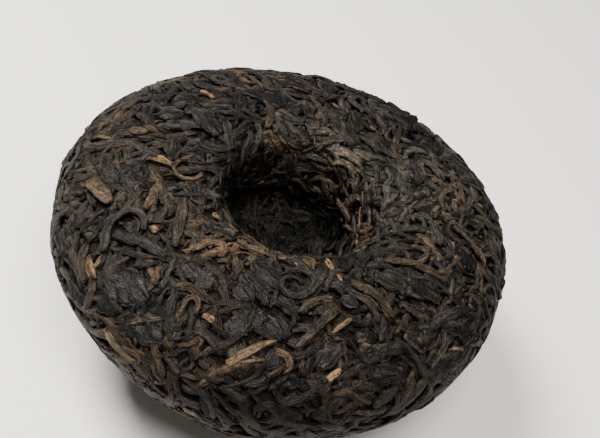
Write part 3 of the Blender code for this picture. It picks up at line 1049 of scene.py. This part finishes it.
def new_tree(name, inputs, output):
    """A tree with named inputs and one output, the bench to build it on, and its inputs' node."""
    tree = bpy.data.node_groups.new(name, "GeometryNodeTree")
    for label, kind, default in inputs:
        kind = "NodeSocket" + kind
        socket = tree.interface.new_socket(label, in_out="INPUT", socket_type=kind)
        if default is not None:
            socket.default_value = default
    tree.interface.new_socket(output, in_out="OUTPUT", socket_type="NodeSocketGeometry")
    bench = Bench(tree)
    return tree, bench, bench.add("NodeGroupInput")


def leaf_tree(name):
    """Sweeps a ridged, folded section along each path, flattens it and presses its top level."""
    inputs = (
        ("Paths", "Geometry", None), ("Sides", "Int", 12), ("Ridges", "Float", 3.0),
        ("Ridge Depth", "Float", 0.1), ("Fold Depth", "Float", 0.3), ("Fold Width", "Float", 0.45),
        ("Unevenness", "Float", 0.42), ("Wobble", "Float", 0.0011), ("Relief", "Float", 0.0),
        ("Softness", "Float", 0.00014), ("Material", "Material", None),
    )
    tree, bench, given = new_tree(name, inputs, "Leaves")

    def take(label):
        return bench.other(given, label)

    curve = bench.add("GeometryNodeMeshToCurve", None, {"Mesh": take("Paths")})
    sockets = {"Curve": curve, "Normal": bench.named("out", "FLOAT_VECTOR")}
    curve = bench.add("GeometryNodeSetCurveNormal", {"mode": "FREE"}, sockets)
    sockets = {"Curve": curve, "Tilt": bench.named("twist")}
    curve = bench.add("GeometryNodeSetCurveTilt", None, sockets)
    along = bench.other(bench.add("GeometryNodeSplineParameter"), "Length")
    middle = bench.add("GeometryNodeInputPosition")
    path = bench.add(
        "GeometryNodeCaptureAttribute",
        {"captures": (("VECTOR", "Centre"), ("FLOAT", "Along"))},
        {"Geometry": curve, "Centre": middle, "Along": along},
    )
    sockets = {"Resolution": take("Sides"), "Radius": 1.0}
    circle = bench.add("GeometryNodeCurvePrimitiveCircle", {"mode": "RADIUS"}, sockets)
    turn = bench.add("GeometryNodeSplineParameter") * (2 * math.pi)
    fold = (turn - math.pi) / take("Fold Width")
    fold = (fold * fold * -1.0).sum("EXPONENT") * take("Fold Depth")
    ridge = (turn * take("Ridges") * 0.5).sum("COSINE").sum("ABSOLUTE")
    ridge = (ridge * 2.0 - 1.0) * take("Ridge Depth")
    swell = 1.0 + ridge - fold
    ring = bench.add(
        "GeometryNodeCaptureAttribute",
        {"captures": (("FLOAT", "Turn"), ("FLOAT", "Swell"))},
        {"Geometry": circle, "Turn": turn, "Swell": swell},
    )
    place = bench.add("GeometryNodeInputPosition").scaled(bench.other(ring, "Swell"))
    section = bench.add("GeometryNodeSetPosition", None, {"Geometry": ring, "Position": place})
    half_width = bench.named("half_width")
    leaf = bench.add(
        "GeometryNodeCurveToMesh", None,
        {"Curve": path, "Profile Curve": section, "Scale": half_width, "Fill Caps": True},
    )
    turn = bench.other(ring, "Turn")
    number = bench.named("number")
    along = bench.other(path, "Along") * 1000.0 + number * GRAIN_APART
    grain = bench.vector(turn.sum("COSINE"), turn.sum("SINE"), along)
    lumps = bench.noisy(grain * LUMP_GRAIN, detail=2.5)
    centre = bench.other(path, "Centre")
    out = bench.named("out", "FLOAT_VECTOR").sum("NORMALIZE")
    offset = bench.add("GeometryNodeInputPosition") - centre
    offset = offset.scaled(1.0 + (lumps - 0.5) * 2.0 * take("Unevenness"))
    place = centre.scaled(WOBBLE_ALONG) + offset.scaled(WOBBLE_ROUND) + out.scaled(number * WOBBLE_APART)
    wobble = bench.noisy(place, output="Color") - (0.5, 0.5, 0.5)
    offset = offset + wobble.scaled(take("Wobble"))
    height = offset.dot(out)
    flatness = bench.named("flatness")
    level = (height * flatness).sum("SMOOTH_MIN", bench.named("ceiling"), take("Softness"))
    veins = bench.noisy(grain * VEIN_GRAIN)
    level = level + ((veins - 0.5).sum("ABSOLUTE") - 0.1) * half_width * take("Relief")
    # How high a point stands on the leaf's section; the leaf finish darkens the low sides with it, painted
    # shade
    high = level / (half_width * flatness)
    pressed = centre + (offset - out.scaled(height)) + out.scaled(level)
    parts = bench.add("ShaderNodeSeparateXYZ", None, {0: pressed})
    up = bench.other(parts, "Z").sum("MAXIMUM", LEAST_HEIGHT)
    place = bench.vector(parts, bench.other(parts, "Y"), up)
    leaf = bench.add("GeometryNodeSetPosition", None, {"Geometry": leaf, "Position": place})
    leaf = bench.stored(leaf, "grain", grain, "FLOAT_VECTOR")
    leaf = bench.stored(leaf, "swell", bench.other(ring, "Swell"))
    leaf = bench.stored(leaf, "high", high)
    leaf = bench.add("GeometryNodeSetShadeSmooth", None, {"Geometry": leaf})
    leaf = bench.add("GeometryNodeRealizeInstances", None, {"Geometry": leaf})
    leaf = bench.add("GeometryNodeSetMaterial", None, {"Geometry": leaf, "Material": take("Material")})
    bench.add("NodeGroupOutput", None, {"Leaves": leaf})
    return tree


def crumb_tree(name):
    """Sets a small uneven lump on each point."""
    inputs = (("Places", "Geometry", None), ("Material", "Material", None))
    tree, bench, given = new_tree(name, inputs, "Crumbs")
    lump = bench.add("GeometryNodeMeshIcoSphere", None, {"Radius": 1.0, "Subdivisions": 1})
    sockets = {"Vector": bench.named("out", "FLOAT_VECTOR")}
    turn = bench.add("FunctionNodeAlignRotationToVector", {"axis": "Z"}, sockets)
    sockets = {2: 0.0, 3: 2 * math.pi, "Seed": 5}
    spin = bench.add("FunctionNodeRandomValue", {"data_type": "FLOAT"}, sockets, 1)
    sockets = {"Rotation": turn, "Rotate By": bench.vector(0.0, 0.0, spin)}
    turn = bench.add("FunctionNodeRotateRotation", {"rotation_space": "LOCAL"}, sockets)
    size = bench.vector(*CRUMB_SHAPE).scaled(bench.named("size"))
    crumbs = bench.add(
        "GeometryNodeInstanceOnPoints", None,
        {"Points": bench.other(given, "Places"), "Instance": lump, "Rotation": turn, "Scale": size},
    )
    crumbs = bench.add("GeometryNodeRealizeInstances", None, {"Geometry": crumbs})
    place = bench.add("GeometryNodeInputPosition").scaled(CRUMB_GRAIN)
    push = (bench.noisy(place, output="Color") - (0.5, 0.5, 0.5)).scaled(CRUMB_PUSH)
    crumbs = bench.add("GeometryNodeSetPosition", None, {"Geometry": crumbs, "Offset": push})
    crumbs = bench.stored(crumbs, "grain", place, "FLOAT_VECTOR")
    crumbs = bench.stored(crumbs, "swell", 1.1)
    crumbs = bench.stored(crumbs, "high", 1.0)
    sockets = {"Geometry": crumbs, "Material": bench.other(given, "Material")}
    crumbs = bench.add("GeometryNodeSetMaterial", None, sockets)
    bench.add("NodeGroupOutput", None, {"Crumbs": crumbs})
    return tree


def placed(name, data):
    """A new object in the scene."""
    thing = bpy.data.objects.new(name, data)
    bpy.context.scene.collection.objects.link(thing)
    return thing


def built(name, mesh, tree, inputs, material):
    """Runs a node tree on a mesh and keeps the result as a plain mesh piece."""
    draft = placed(name + "_draft", mesh)
    nodes = draft.modifiers.new("made", "NODES")
    nodes.node_group = tree
    for item in tree.interface.items_tree:
        if item.item_type == "SOCKET" and item.in_out == "INPUT" and item.name in inputs:
            nodes[item.identifier] = inputs[item.name]
    bpy.context.view_layer.update()
    graph = bpy.context.evaluated_depsgraph_get()
    result = bpy.data.meshes.new_from_object(draft.evaluated_get(graph), depsgraph=graph)
    result.name = name
    bpy.data.objects.remove(draft, do_unlink=True)
    for label in [a.name for a in result.attributes]:
        found = result.attributes[label]
        if label not in KEPT and not label.startswith(".") and not found.is_required:
            result.attributes.remove(found)
    result.materials.clear()
    result.materials.append(material)
    if not len(result.polygons):
        raise RuntimeError(name + " came out empty")
    return placed(name, result)


def settle(piece):
    """Makes a piece part of the cake."""
    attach(piece, "root")
    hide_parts(NODE)


# Finishes

class Finish(Bench):
    """A material that is being built: a bench on its nodes, with its shader."""

    def __init__(self, name):
        self.material = bpy.data.materials.new(name)
        self.material.use_nodes = True
        super().__init__(self.material.node_tree)
        self.shader = self.tree.nodes["Principled BSDF"]

    def give(self, socket, value):
        """Links a wire to one of the shader's sockets, or sets the socket's value."""
        if isinstance(value, Wire):
            self.tree.links.new(value.socket, self.shader.inputs[socket])
        else:
            self.shader.inputs[socket].default_value = value

    def kept(self, label, output="Fac"):
        """A value that the piece's mesh keeps under a name."""
        return self.add("ShaderNodeAttribute", {"attribute_name": label}, None, output)

    def bumps(self, height, distance):
        sockets = {"Strength": 1.0, "Distance": distance, "Height": height}
        self.give("Normal", self.add("ShaderNodeBump", None, sockets))


def leaf_finish(colours):
    """Dry dark leaf: fine lengthwise veins, grey bloom, some brown and gold; lighter ridges, partly wear
    and partly painted light, and painted shade in the creases and on the low sides.
    """
    finish = Finish("dry_leaf")
    dark, grey, brown, gold = (
        tuple(colour) for colour in (colours.dark, colours.grey, colours.brown, colours.gold)
    )
    place = finish.add("ShaderNodeTexCoord", None, None, "Object")
    grain = finish.kept("grain", "Vector")
    veins = finish.noisy(grain * VEINS, detail=1.5)
    fine = finish.noisy(grain * FIBRES)
    patches = finish.noisy(place, *PATCHES)
    crumple = finish.noisy(place, *CRUMPLES)
    specks = finish.noisy(place, *SPECKS)
    groove = ((veins - 0.5).sum("ABSOLUTE") * 5.5).sum("MINIMUM", 1.0)
    crack = ((crumple - 0.5).sum("ABSOLUTE") * 9.0).sum("MINIMUM", 1.0)
    roundness = ((finish.kept("flatness") - 0.08) * 3.0).between(0.0, 1.0)
    crest = ((finish.kept("swell") - 0.75) * 2.2).between(0.0, 1.0)
    bloom = finish.kept("tint") * 0.72 + (patches - 0.5) * 1.1 + (veins - 0.5) * 0.6
    colour = finish.mix(bloom, dark, grey)
    browning = (finish.kept("warmth") * 0.9 + (patches - 0.5) * 0.8) * (0.5 + veins)
    colour = finish.mix(browning, colour, brown)
    colour = finish.mix(finish.kept("gold") * (0.55 + fine * 0.8), colour, gold)
    # Painted shade: each leaf darker on the low sides of its section, where it tucks under its neighbours
    painted_low_side_shade = (finish.kept("high") * 2.15 + 0.06).between(0.06, 1.0)
    # Lighter crests are partly wear and partly painted light; darker vein creases and crumple lines are
    # painted shade
    shade = 0.08 + crest * 0.42 + groove * 0.70 + crack * 0.38
    shade = shade + (fine - 0.5) * 1.35 + (specks - 0.5) * 2.0
    shade = shade.sum("MAXIMUM", 0.05) * painted_low_side_shade * finish.kept("shade")
    finish.give("Base Color", finish.mix(1.0, colour, finish.vector(shade, shade, shade), "MULTIPLY"))
    finish.give("Roughness", colours.roughness + (specks - 0.5) * 0.35 + (veins - 0.5) * 0.25)
    finish.give("Specular IOR Level", colours.shine)
    finish.give("Specular Tint", WARM_GLOSS)
    relief = groove * (0.03 + roundness * 0.15) + crack * 0.06
    finish.bumps(relief + fine * (0.04 + roundness * 0.13) + specks * 0.06, LEAF_BUMPS)
    return finish.material


def core_finish(colours):
    """The near-black pressed mass that shows in the gaps."""
    finish = Finish("pressed_mass")
    place = finish.add("ShaderNodeTexCoord", None, None, "Object")
    crumbs = finish.noisy(place, *CORE_NOISE)
    darker, lighter = (tuple(c * share for c in colours.core) for share in (0.5, 2.2))
    finish.give("Base Color", finish.mix(crumbs, darker, lighter))
    finish.give("Roughness", 0.8)
    finish.give("Specular IOR Level", colours.shine * 0.5)
    finish.bumps(crumbs, CORE_BUMPS)
    return finish.material


def floor_finish(colour):
    """A plain pale matt floor."""
    finish = Finish("pale_floor")
    finish.give("Base Color", (*colour, 1.0))
    finish.give("Roughness", 0.85)
    return finish.material


WORK = {}


def the_bed():
    """The mould and its laid leaves, shared by the operators."""
    if "bed" not in WORK:
        WORK["bed"] = Bed(Mould(bpy.context.scene.tea_mould))
        WORK["leaf"] = leaf_finish(bpy.context.scene.tea_colours)
        WORK["tree"] = leaf_tree("pressed_leaf_sweep")
    return WORK["bed"]


def sweep_piece(name, kind, leaves, style, sides):
    """Sweeps some laid leaves and makes them one piece."""
    inputs = {
        "Sides": sides, "Ridges": float(kind.ridges), "Ridge Depth": kind.ridge_depth,
        "Fold Depth": kind.fold_depth, "Fold Width": style.get("fold_width", 0.45),
        "Unevenness": style.get("uneven", 0.42), "Wobble": style.get("wobble", 0.0011),
        "Relief": style.get("relief", 0.0), "Material": WORK["leaf"],
    }
    mesh = paths_mesh(name, the_bed(), leaves)
    settle(built(name, mesh, WORK["tree"], inputs, WORK["leaf"]))


def lay_piece(name, kind, layers, style, sides, seed):
    """Lays one kind of leaf and makes it one piece."""
    sweep_piece(name, kind, lay_kind(the_bed(), kind, layers, style, seed), style, sides)


# Operators

class TEACAKE_OT_stage(bpy.types.Operator):
    """Adds the floor, the soft lights and the camera"""

    bl_idname = "teacake.stage"
    bl_label = "Stage"

    def execute(self, context):
        s = context.scene.tea_stage
        mesh = bpy.data.meshes.new("floor")
        shape = bmesh.new()
        bmesh.ops.create_grid(shape, x_segments=1, y_segments=1, size=2.0)
        shape.to_mesh(mesh)
        shape.free()
        mesh.transform(Matrix.Translation((0, 0, -FLOOR_DROP)))
        mesh.materials.append(floor_finish(s.floor))
        floor = placed("floor", mesh)
        middle = Vector((0, 0, context.scene.tea_mould.height / 2))
        rise = math.radians(s.elevation)
        roll = math.radians(s.roll)
        back = Vector((0, -math.cos(rise), math.sin(rise)))
        right = Vector((1, 0, 0))
        up = Vector((0, math.sin(rise), math.cos(rise)))
        cam_right = right * math.cos(roll) + up * math.sin(roll)
        cam_up = up * math.cos(roll) - right * math.sin(roll)
        data = bpy.data.cameras.new("camera")
        data.lens = s.lens
        data.sensor_width = SENSOR
        data.clip_start = 0.01
        camera = placed("camera", data)
        turn = Matrix((cam_right, cam_up, back)).transposed().to_4x4()
        spot = middle + back * s.distance + cam_right * s.aim[0] + cam_up * s.aim[1]
        camera.matrix_world = Matrix.Translation(spot) @ turn
        context.scene.camera = camera
        for name, place, size, share in LIGHTS:
            lamp = bpy.data.lights.new(name, "AREA")
            lamp.shape = "DISK"
            lamp.size = size
            lamp.energy = s.key * share
            light = placed(name, lamp)
            light.location = place
            light.rotation_euler = (Vector(place) - middle).to_track_quat("Z", "Y").to_euler()
        world = bpy.data.worlds.new("sky")
        world.use_nodes = True
        sky = world.node_tree.nodes["Background"].inputs
        sky["Color"].default_value = SKY
        sky["Strength"].default_value = s.sky
        context.scene.world = world
        return {"FINISHED"}


class TEACAKE_OT_core(bpy.types.Operator):
    """Turns the dark core that fills the cake under its leaves"""

    bl_idname = "teacake.core"
    bl_label = "Core"

    def execute(self, context):
        mould = the_bed().mould
        verts, faces = skin(mould, depth=-CORE_DEPTH, rings=150, around=160)
        mesh = bpy.data.meshes.new("core")
        mesh.from_pydata(verts.tolist(), [], faces)
        shape = bmesh.new()
        shape.from_mesh(mesh)
        bmesh.ops.recalc_face_normals(shape, faces=shape.faces)
        shape.to_mesh(mesh)
        shape.free()
        mesh.shade_smooth()
        folds = np.abs(noise_at(verts, CORE_FOLDS[0])) * CORE_FOLDS[1]
        lumps = folds + noise_at(verts, CORE_LUMPS[0]) * CORE_LUMPS[1] - CORE_DROP
        normals = np.array([v.normal for v in mesh.vertices])
        moved = verts + normals * lumps[:, None]
        moved[:, 2] = np.maximum(moved[:, 2], CORE_LOWEST)
        mesh.vertices.foreach_set("co", moved.astype(np.float32).ravel())
        mesh.update()
        mesh.materials.append(core_finish(context.scene.tea_colours))
        settle(placed("pressed_core", mesh))
        return {"FINISHED"}


class TEACAKE_OT_traced(bpy.types.Operator):
    """Lays the leaves that stand out in the photograph, each along its own line"""

    bl_idname = "teacake.traced"
    bl_label = "Traced Leaves"

    def execute(self, context):
        bed = the_bed()
        scene = context.scene
        sight = Sight(scene.camera, bed.mould)
        for x, y, reach, *change in HUES_AND_PAINTED_LIGHT:
            bed.hues_and_painted_light.append((Vector(sight.spot(x, y)), reach * MM, change))
        draw = random.Random(11)
        rolled = {"tip": 0.7, "tail": 0.7, "lumps": 0.2, "uneven": 0.25, "wobble": 0.0005}
        flat = {"lumps": 0.2, "uneven": 0.35, "relief": 1.0}
        flake = {"lumps": 0.08, "uneven": 0.12, "wobble": 0.0003}
        proud = {"tip": 0.1, "tail": 0.9, "lift": 0.0016}
        for name, kind, rows, sides, style in (
            ("traced_rolled_leaves", scene.tea_rolled, TRACED_ROLLED, 14, rolled),
            ("traced_flat_leaves", scene.tea_flat, TRACED_FLAT, 28, flat),
            ("traced_flakes", scene.tea_flat, TRACED_FLAKES, 24, flake),
            ("proud_leaf", scene.tea_flat, PROUD_LEAF, 14, proud),
        ):
            leaves = []
            for width, flatness, rise, tint, warmth, gold, *pixels in rows:
                feet, outs, length = sight.trace(pixels, TRACED_STEP)
                depth = (rise - TRACED_DEPTH) * MM
                leaf = shaped(kind, feet, outs, length, width * MM, depth, draw, style)
                leaf.flatness, leaf.tint, leaf.warmth, leaf.gold = flatness, tint, warmth, gold
                leaf.rise = rise * MM
                # A sunk dark leaf is painted shade: the top layers and the crumbs keep off it
                for layer in ("top", "upper", "gap") if rise < 0 else ("top",):
                    bed.lay(bed.under(leaf), layer)
                leaves.append(leaf)
            sweep_piece(name, kind, leaves, style, sides)
        return {"FINISHED"}


class TEACAKE_OT_crumbs(bpy.types.Operator):
    """Scatters crumbs of broken leaf into the gaps"""

    bl_idname = "teacake.crumbs"
    bl_label = "Crumbs"

    def execute(self, context):
        bed = the_bed()
        s = context.scene.tea_crumbs
        draw = random.Random(81)
        feet, outs, sizes = [], [], []
        for _ in range(s.count):
            i = draw.randrange(len(bed.spots))
            foot, normal = bed.mould.nearest(bed.spots[i])
            if foot.z < CRUMB_LOWEST or bed.layer("gap")[i]:
                continue
            feet.append(foot - normal * draw.uniform(*CRUMB_DEPTH))
            outs.append(normal)
            sizes.append(s.radius[0] + (s.radius[1] - s.radius[0]) * draw.random() ** 2)
        # The crumbs take the same offsets, with the brightness as painted light and shade
        hues_and_painted_light = np.array([bed.hue(foot) for foot in feet])
        mesh = bpy.data.meshes.new("crumb_places")
        mesh.from_pydata(bed.mould.hand_pressed(feet).tolist(), [], [])
        store(mesh, "out", outs, "FLOAT_VECTOR")
        store(mesh, "size", sizes)
        for k, label, low, high in (
            (0, "tint", 0.0, 0.6), (1, "warmth", 0.0, 0.9), (2, "shade", 0.4, 1.0)
        ):
            values = hues_and_painted_light[:, k] + [draw.uniform(low, high) for _ in feet]
            store(mesh, label, np.clip(values, 0.0, 1.5))
        gold = [draw.uniform(*CRUMB_GOLD) if draw.random() < CRUMB_GOLDEN else 0.0 for _ in feet]
        store(mesh, "gold", gold)
        tree = crumb_tree("crumb_scatter")
        settle(built("crumbs", mesh, tree, {"Material": WORK["leaf"]}, WORK["leaf"]))
        return {"FINISHED"}


class TEACAKE_OT_folded(bpy.types.Operator):
    """Lays the wide folded leaves"""

    bl_idname = "teacake.folded"
    bl_label = "Folded Leaves"

    def execute(self, context):
        layers = (("upper", -0.00045, 0.35, 1.2), ("top", -0.00016, 0.12, 0.8))
        style = {
            "spread": 0.8, "tip": 0.5, "tail": 0.6, "fold_width": 0.25, "step": 0.0007,
            "lumps": 0.45, "relief": 0.9, "near": 0.65,
        }
        lay_piece("folded_leaves", context.scene.tea_folded, layers, style, 20, 21)
        return {"FINISHED"}


class TEACAKE_OT_flat(bpy.types.Operator):
    """Lays the flat torn scraps of leaf"""

    bl_idname = "teacake.flat"
    bl_label = "Flat Leaves"

    def execute(self, context):
        layers = (
            ("top", -0.00010, 0.15, 0.20), ("upper", -0.00035, 0.30, 0.7),
            ("middle", -0.00065, 0.5, 0.6),
        )
        style = {
            "spread": 1.2, "tip": 0.7, "tail": 0.8, "step": 0.0006,
            "lumps": 0.6, "uneven": 0.9, "relief": 1.0,
        }
        lay_piece("flat_leaves", context.scene.tea_flat, layers, style, 24, 25)
        return {"FINISHED"}


class TEACAKE_OT_curled(bpy.types.Operator):
    """Lays the leaves that closed into hooks and loops"""

    bl_idname = "teacake.curled"
    bl_label = "Curled Leaves"

    def execute(self, context):
        layers = (("top", -0.00026, 0.12, 1.0), ("upper", -0.00060, 0.4, 0.8))
        style = {"spread": 1.5, "curl": True, "tip": 0.5, "tail": 0.6}
        lay_piece("curled_leaves", context.scene.tea_curled, layers, style, 10, 31)
        return {"FINISHED"}


class TEACAKE_OT_stems(bpy.types.Operator):
    """Lays the straight stems"""

    bl_idname = "teacake.stems"
    bl_label = "Stems"

    def execute(self, context):
        layers = (("top", -0.00034, 0.15, 1.0), ("upper", -0.0006, 0.5, 0.6))
        style = {"spread": 0.8, "tip": 0.8, "tail": 0.85}
        lay_piece("stems", context.scene.tea_stems, layers, style, 12, 41)
        return {"FINISHED"}


class TEACAKE_OT_golden(bpy.types.Operator):
    """Lays the small golden buds"""

    bl_idname = "teacake.golden"
    bl_label = "Golden Buds"

    def execute(self, context):
        layers = (("top", -0.00022, 0.2, 1.0), ("upper", -0.0005, 0.6, 1.0))
        style = {"spread": 1.0, "gold": 1.0, "tip": 0.2, "tail": 0.4, "step": 0.0007}
        lay_piece("golden_buds", context.scene.tea_golden, layers, style, 10, 51)
        return {"FINISHED"}


class TEACAKE_OT_rolled(bpy.types.Operator):
    """Lays the rolled leaves, most of what shows"""

    bl_idname = "teacake.rolled"
    bl_label = "Rolled Leaves"

    def execute(self, context):
        kind = context.scene.tea_rolled
        style = {"tip": 0.5, "tail": 0.6, "spread": 0.85}
        fine = {**style, "step": 0.0008}
        coarse = {**style, "step": 0.0012}
        lay_piece("rolled_leaves_top", kind, (("top", -0.00028, 0.18, 0.9),), fine, 12, 61)
        lay_piece("rolled_leaves_upper", kind, (("upper", -0.00060, 0.40, 0.9),), fine, 10, 62)
        lay_piece("rolled_leaves_deep", kind, (("middle", -0.00095, 0.5, 0.9),), coarse, 8, 63)
        return {"FINISHED"}


class TEACAKE_OT_fine(bpy.types.Operator):
    """Lays the fine twisted leaves between the others"""

    bl_idname = "teacake.fine"
    bl_label = "Fine Leaves"

    def execute(self, context):
        layers = (("top", -0.00014, 0.25, 1.0), ("upper", -0.00050, 0.6, 0.9))
        style = {"spread": 1.0, "tip": 0.5, "tail": 0.6, "step": 0.0009, "far": 0.5}
        lay_piece("fine_leaves", context.scene.tea_fine, layers, style, 8, 71)
        return {"FINISHED"}


OPERATORS = (
    TEACAKE_OT_stage, TEACAKE_OT_core, TEACAKE_OT_traced, TEACAKE_OT_curled, TEACAKE_OT_stems,
    TEACAKE_OT_golden, TEACAKE_OT_folded, TEACAKE_OT_flat, TEACAKE_OT_rolled, TEACAKE_OT_fine,
    TEACAKE_OT_crumbs,
)


class TEACAKE_PT_panel(bpy.types.Panel):
    """Lists the steps that build the cake"""

    bl_idname = "TEACAKE_PT_panel"
    bl_label = "Tea Cake"
    bl_space_type = "VIEW_3D"
    bl_region_type = "UI"
    bl_category = "Tea Cake"

    def draw(self, context):
        for step in OPERATORS:
            self.layout.operator(step.bl_idname)


SETTINGS = (
    ("tea_mould", MouldSizes), ("tea_rolled", RolledLeaves), ("tea_fine", FineLeaves),
    ("tea_folded", FoldedLeaves), ("tea_flat", FlatLeaves), ("tea_curled", CurledLeaves),
    ("tea_stems", Stems), ("tea_golden", GoldenTips), ("tea_crumbs", Crumbs),
    ("tea_colours", LeafColours), ("tea_stage", StageSizes),
)


def register():
    for name, group in SETTINGS:
        bpy.utils.register_class(group)
        setattr(bpy.types.Scene, name, PointerProperty(type=group))
    for step in (*OPERATORS, TEACAKE_PT_panel):
        bpy.utils.register_class(step)


def unregister():
    for step in (*OPERATORS, TEACAKE_PT_panel):
        bpy.utils.unregister_class(step)
    for name, group in SETTINGS:
        delattr(bpy.types.Scene, name)
        bpy.utils.unregister_class(group)


def main():
    register()
    bpy.ops.teacake.stage()
    bpy.ops.teacake.core()
    bpy.ops.teacake.traced()
    bpy.ops.teacake.curled()
    bpy.ops.teacake.stems()
    bpy.ops.teacake.golden()
    bpy.ops.teacake.folded()
    bpy.ops.teacake.flat()
    bpy.ops.teacake.rolled()
    bpy.ops.teacake.fine()
    bpy.ops.teacake.crumbs()


if __name__ == "__main__":
    main()
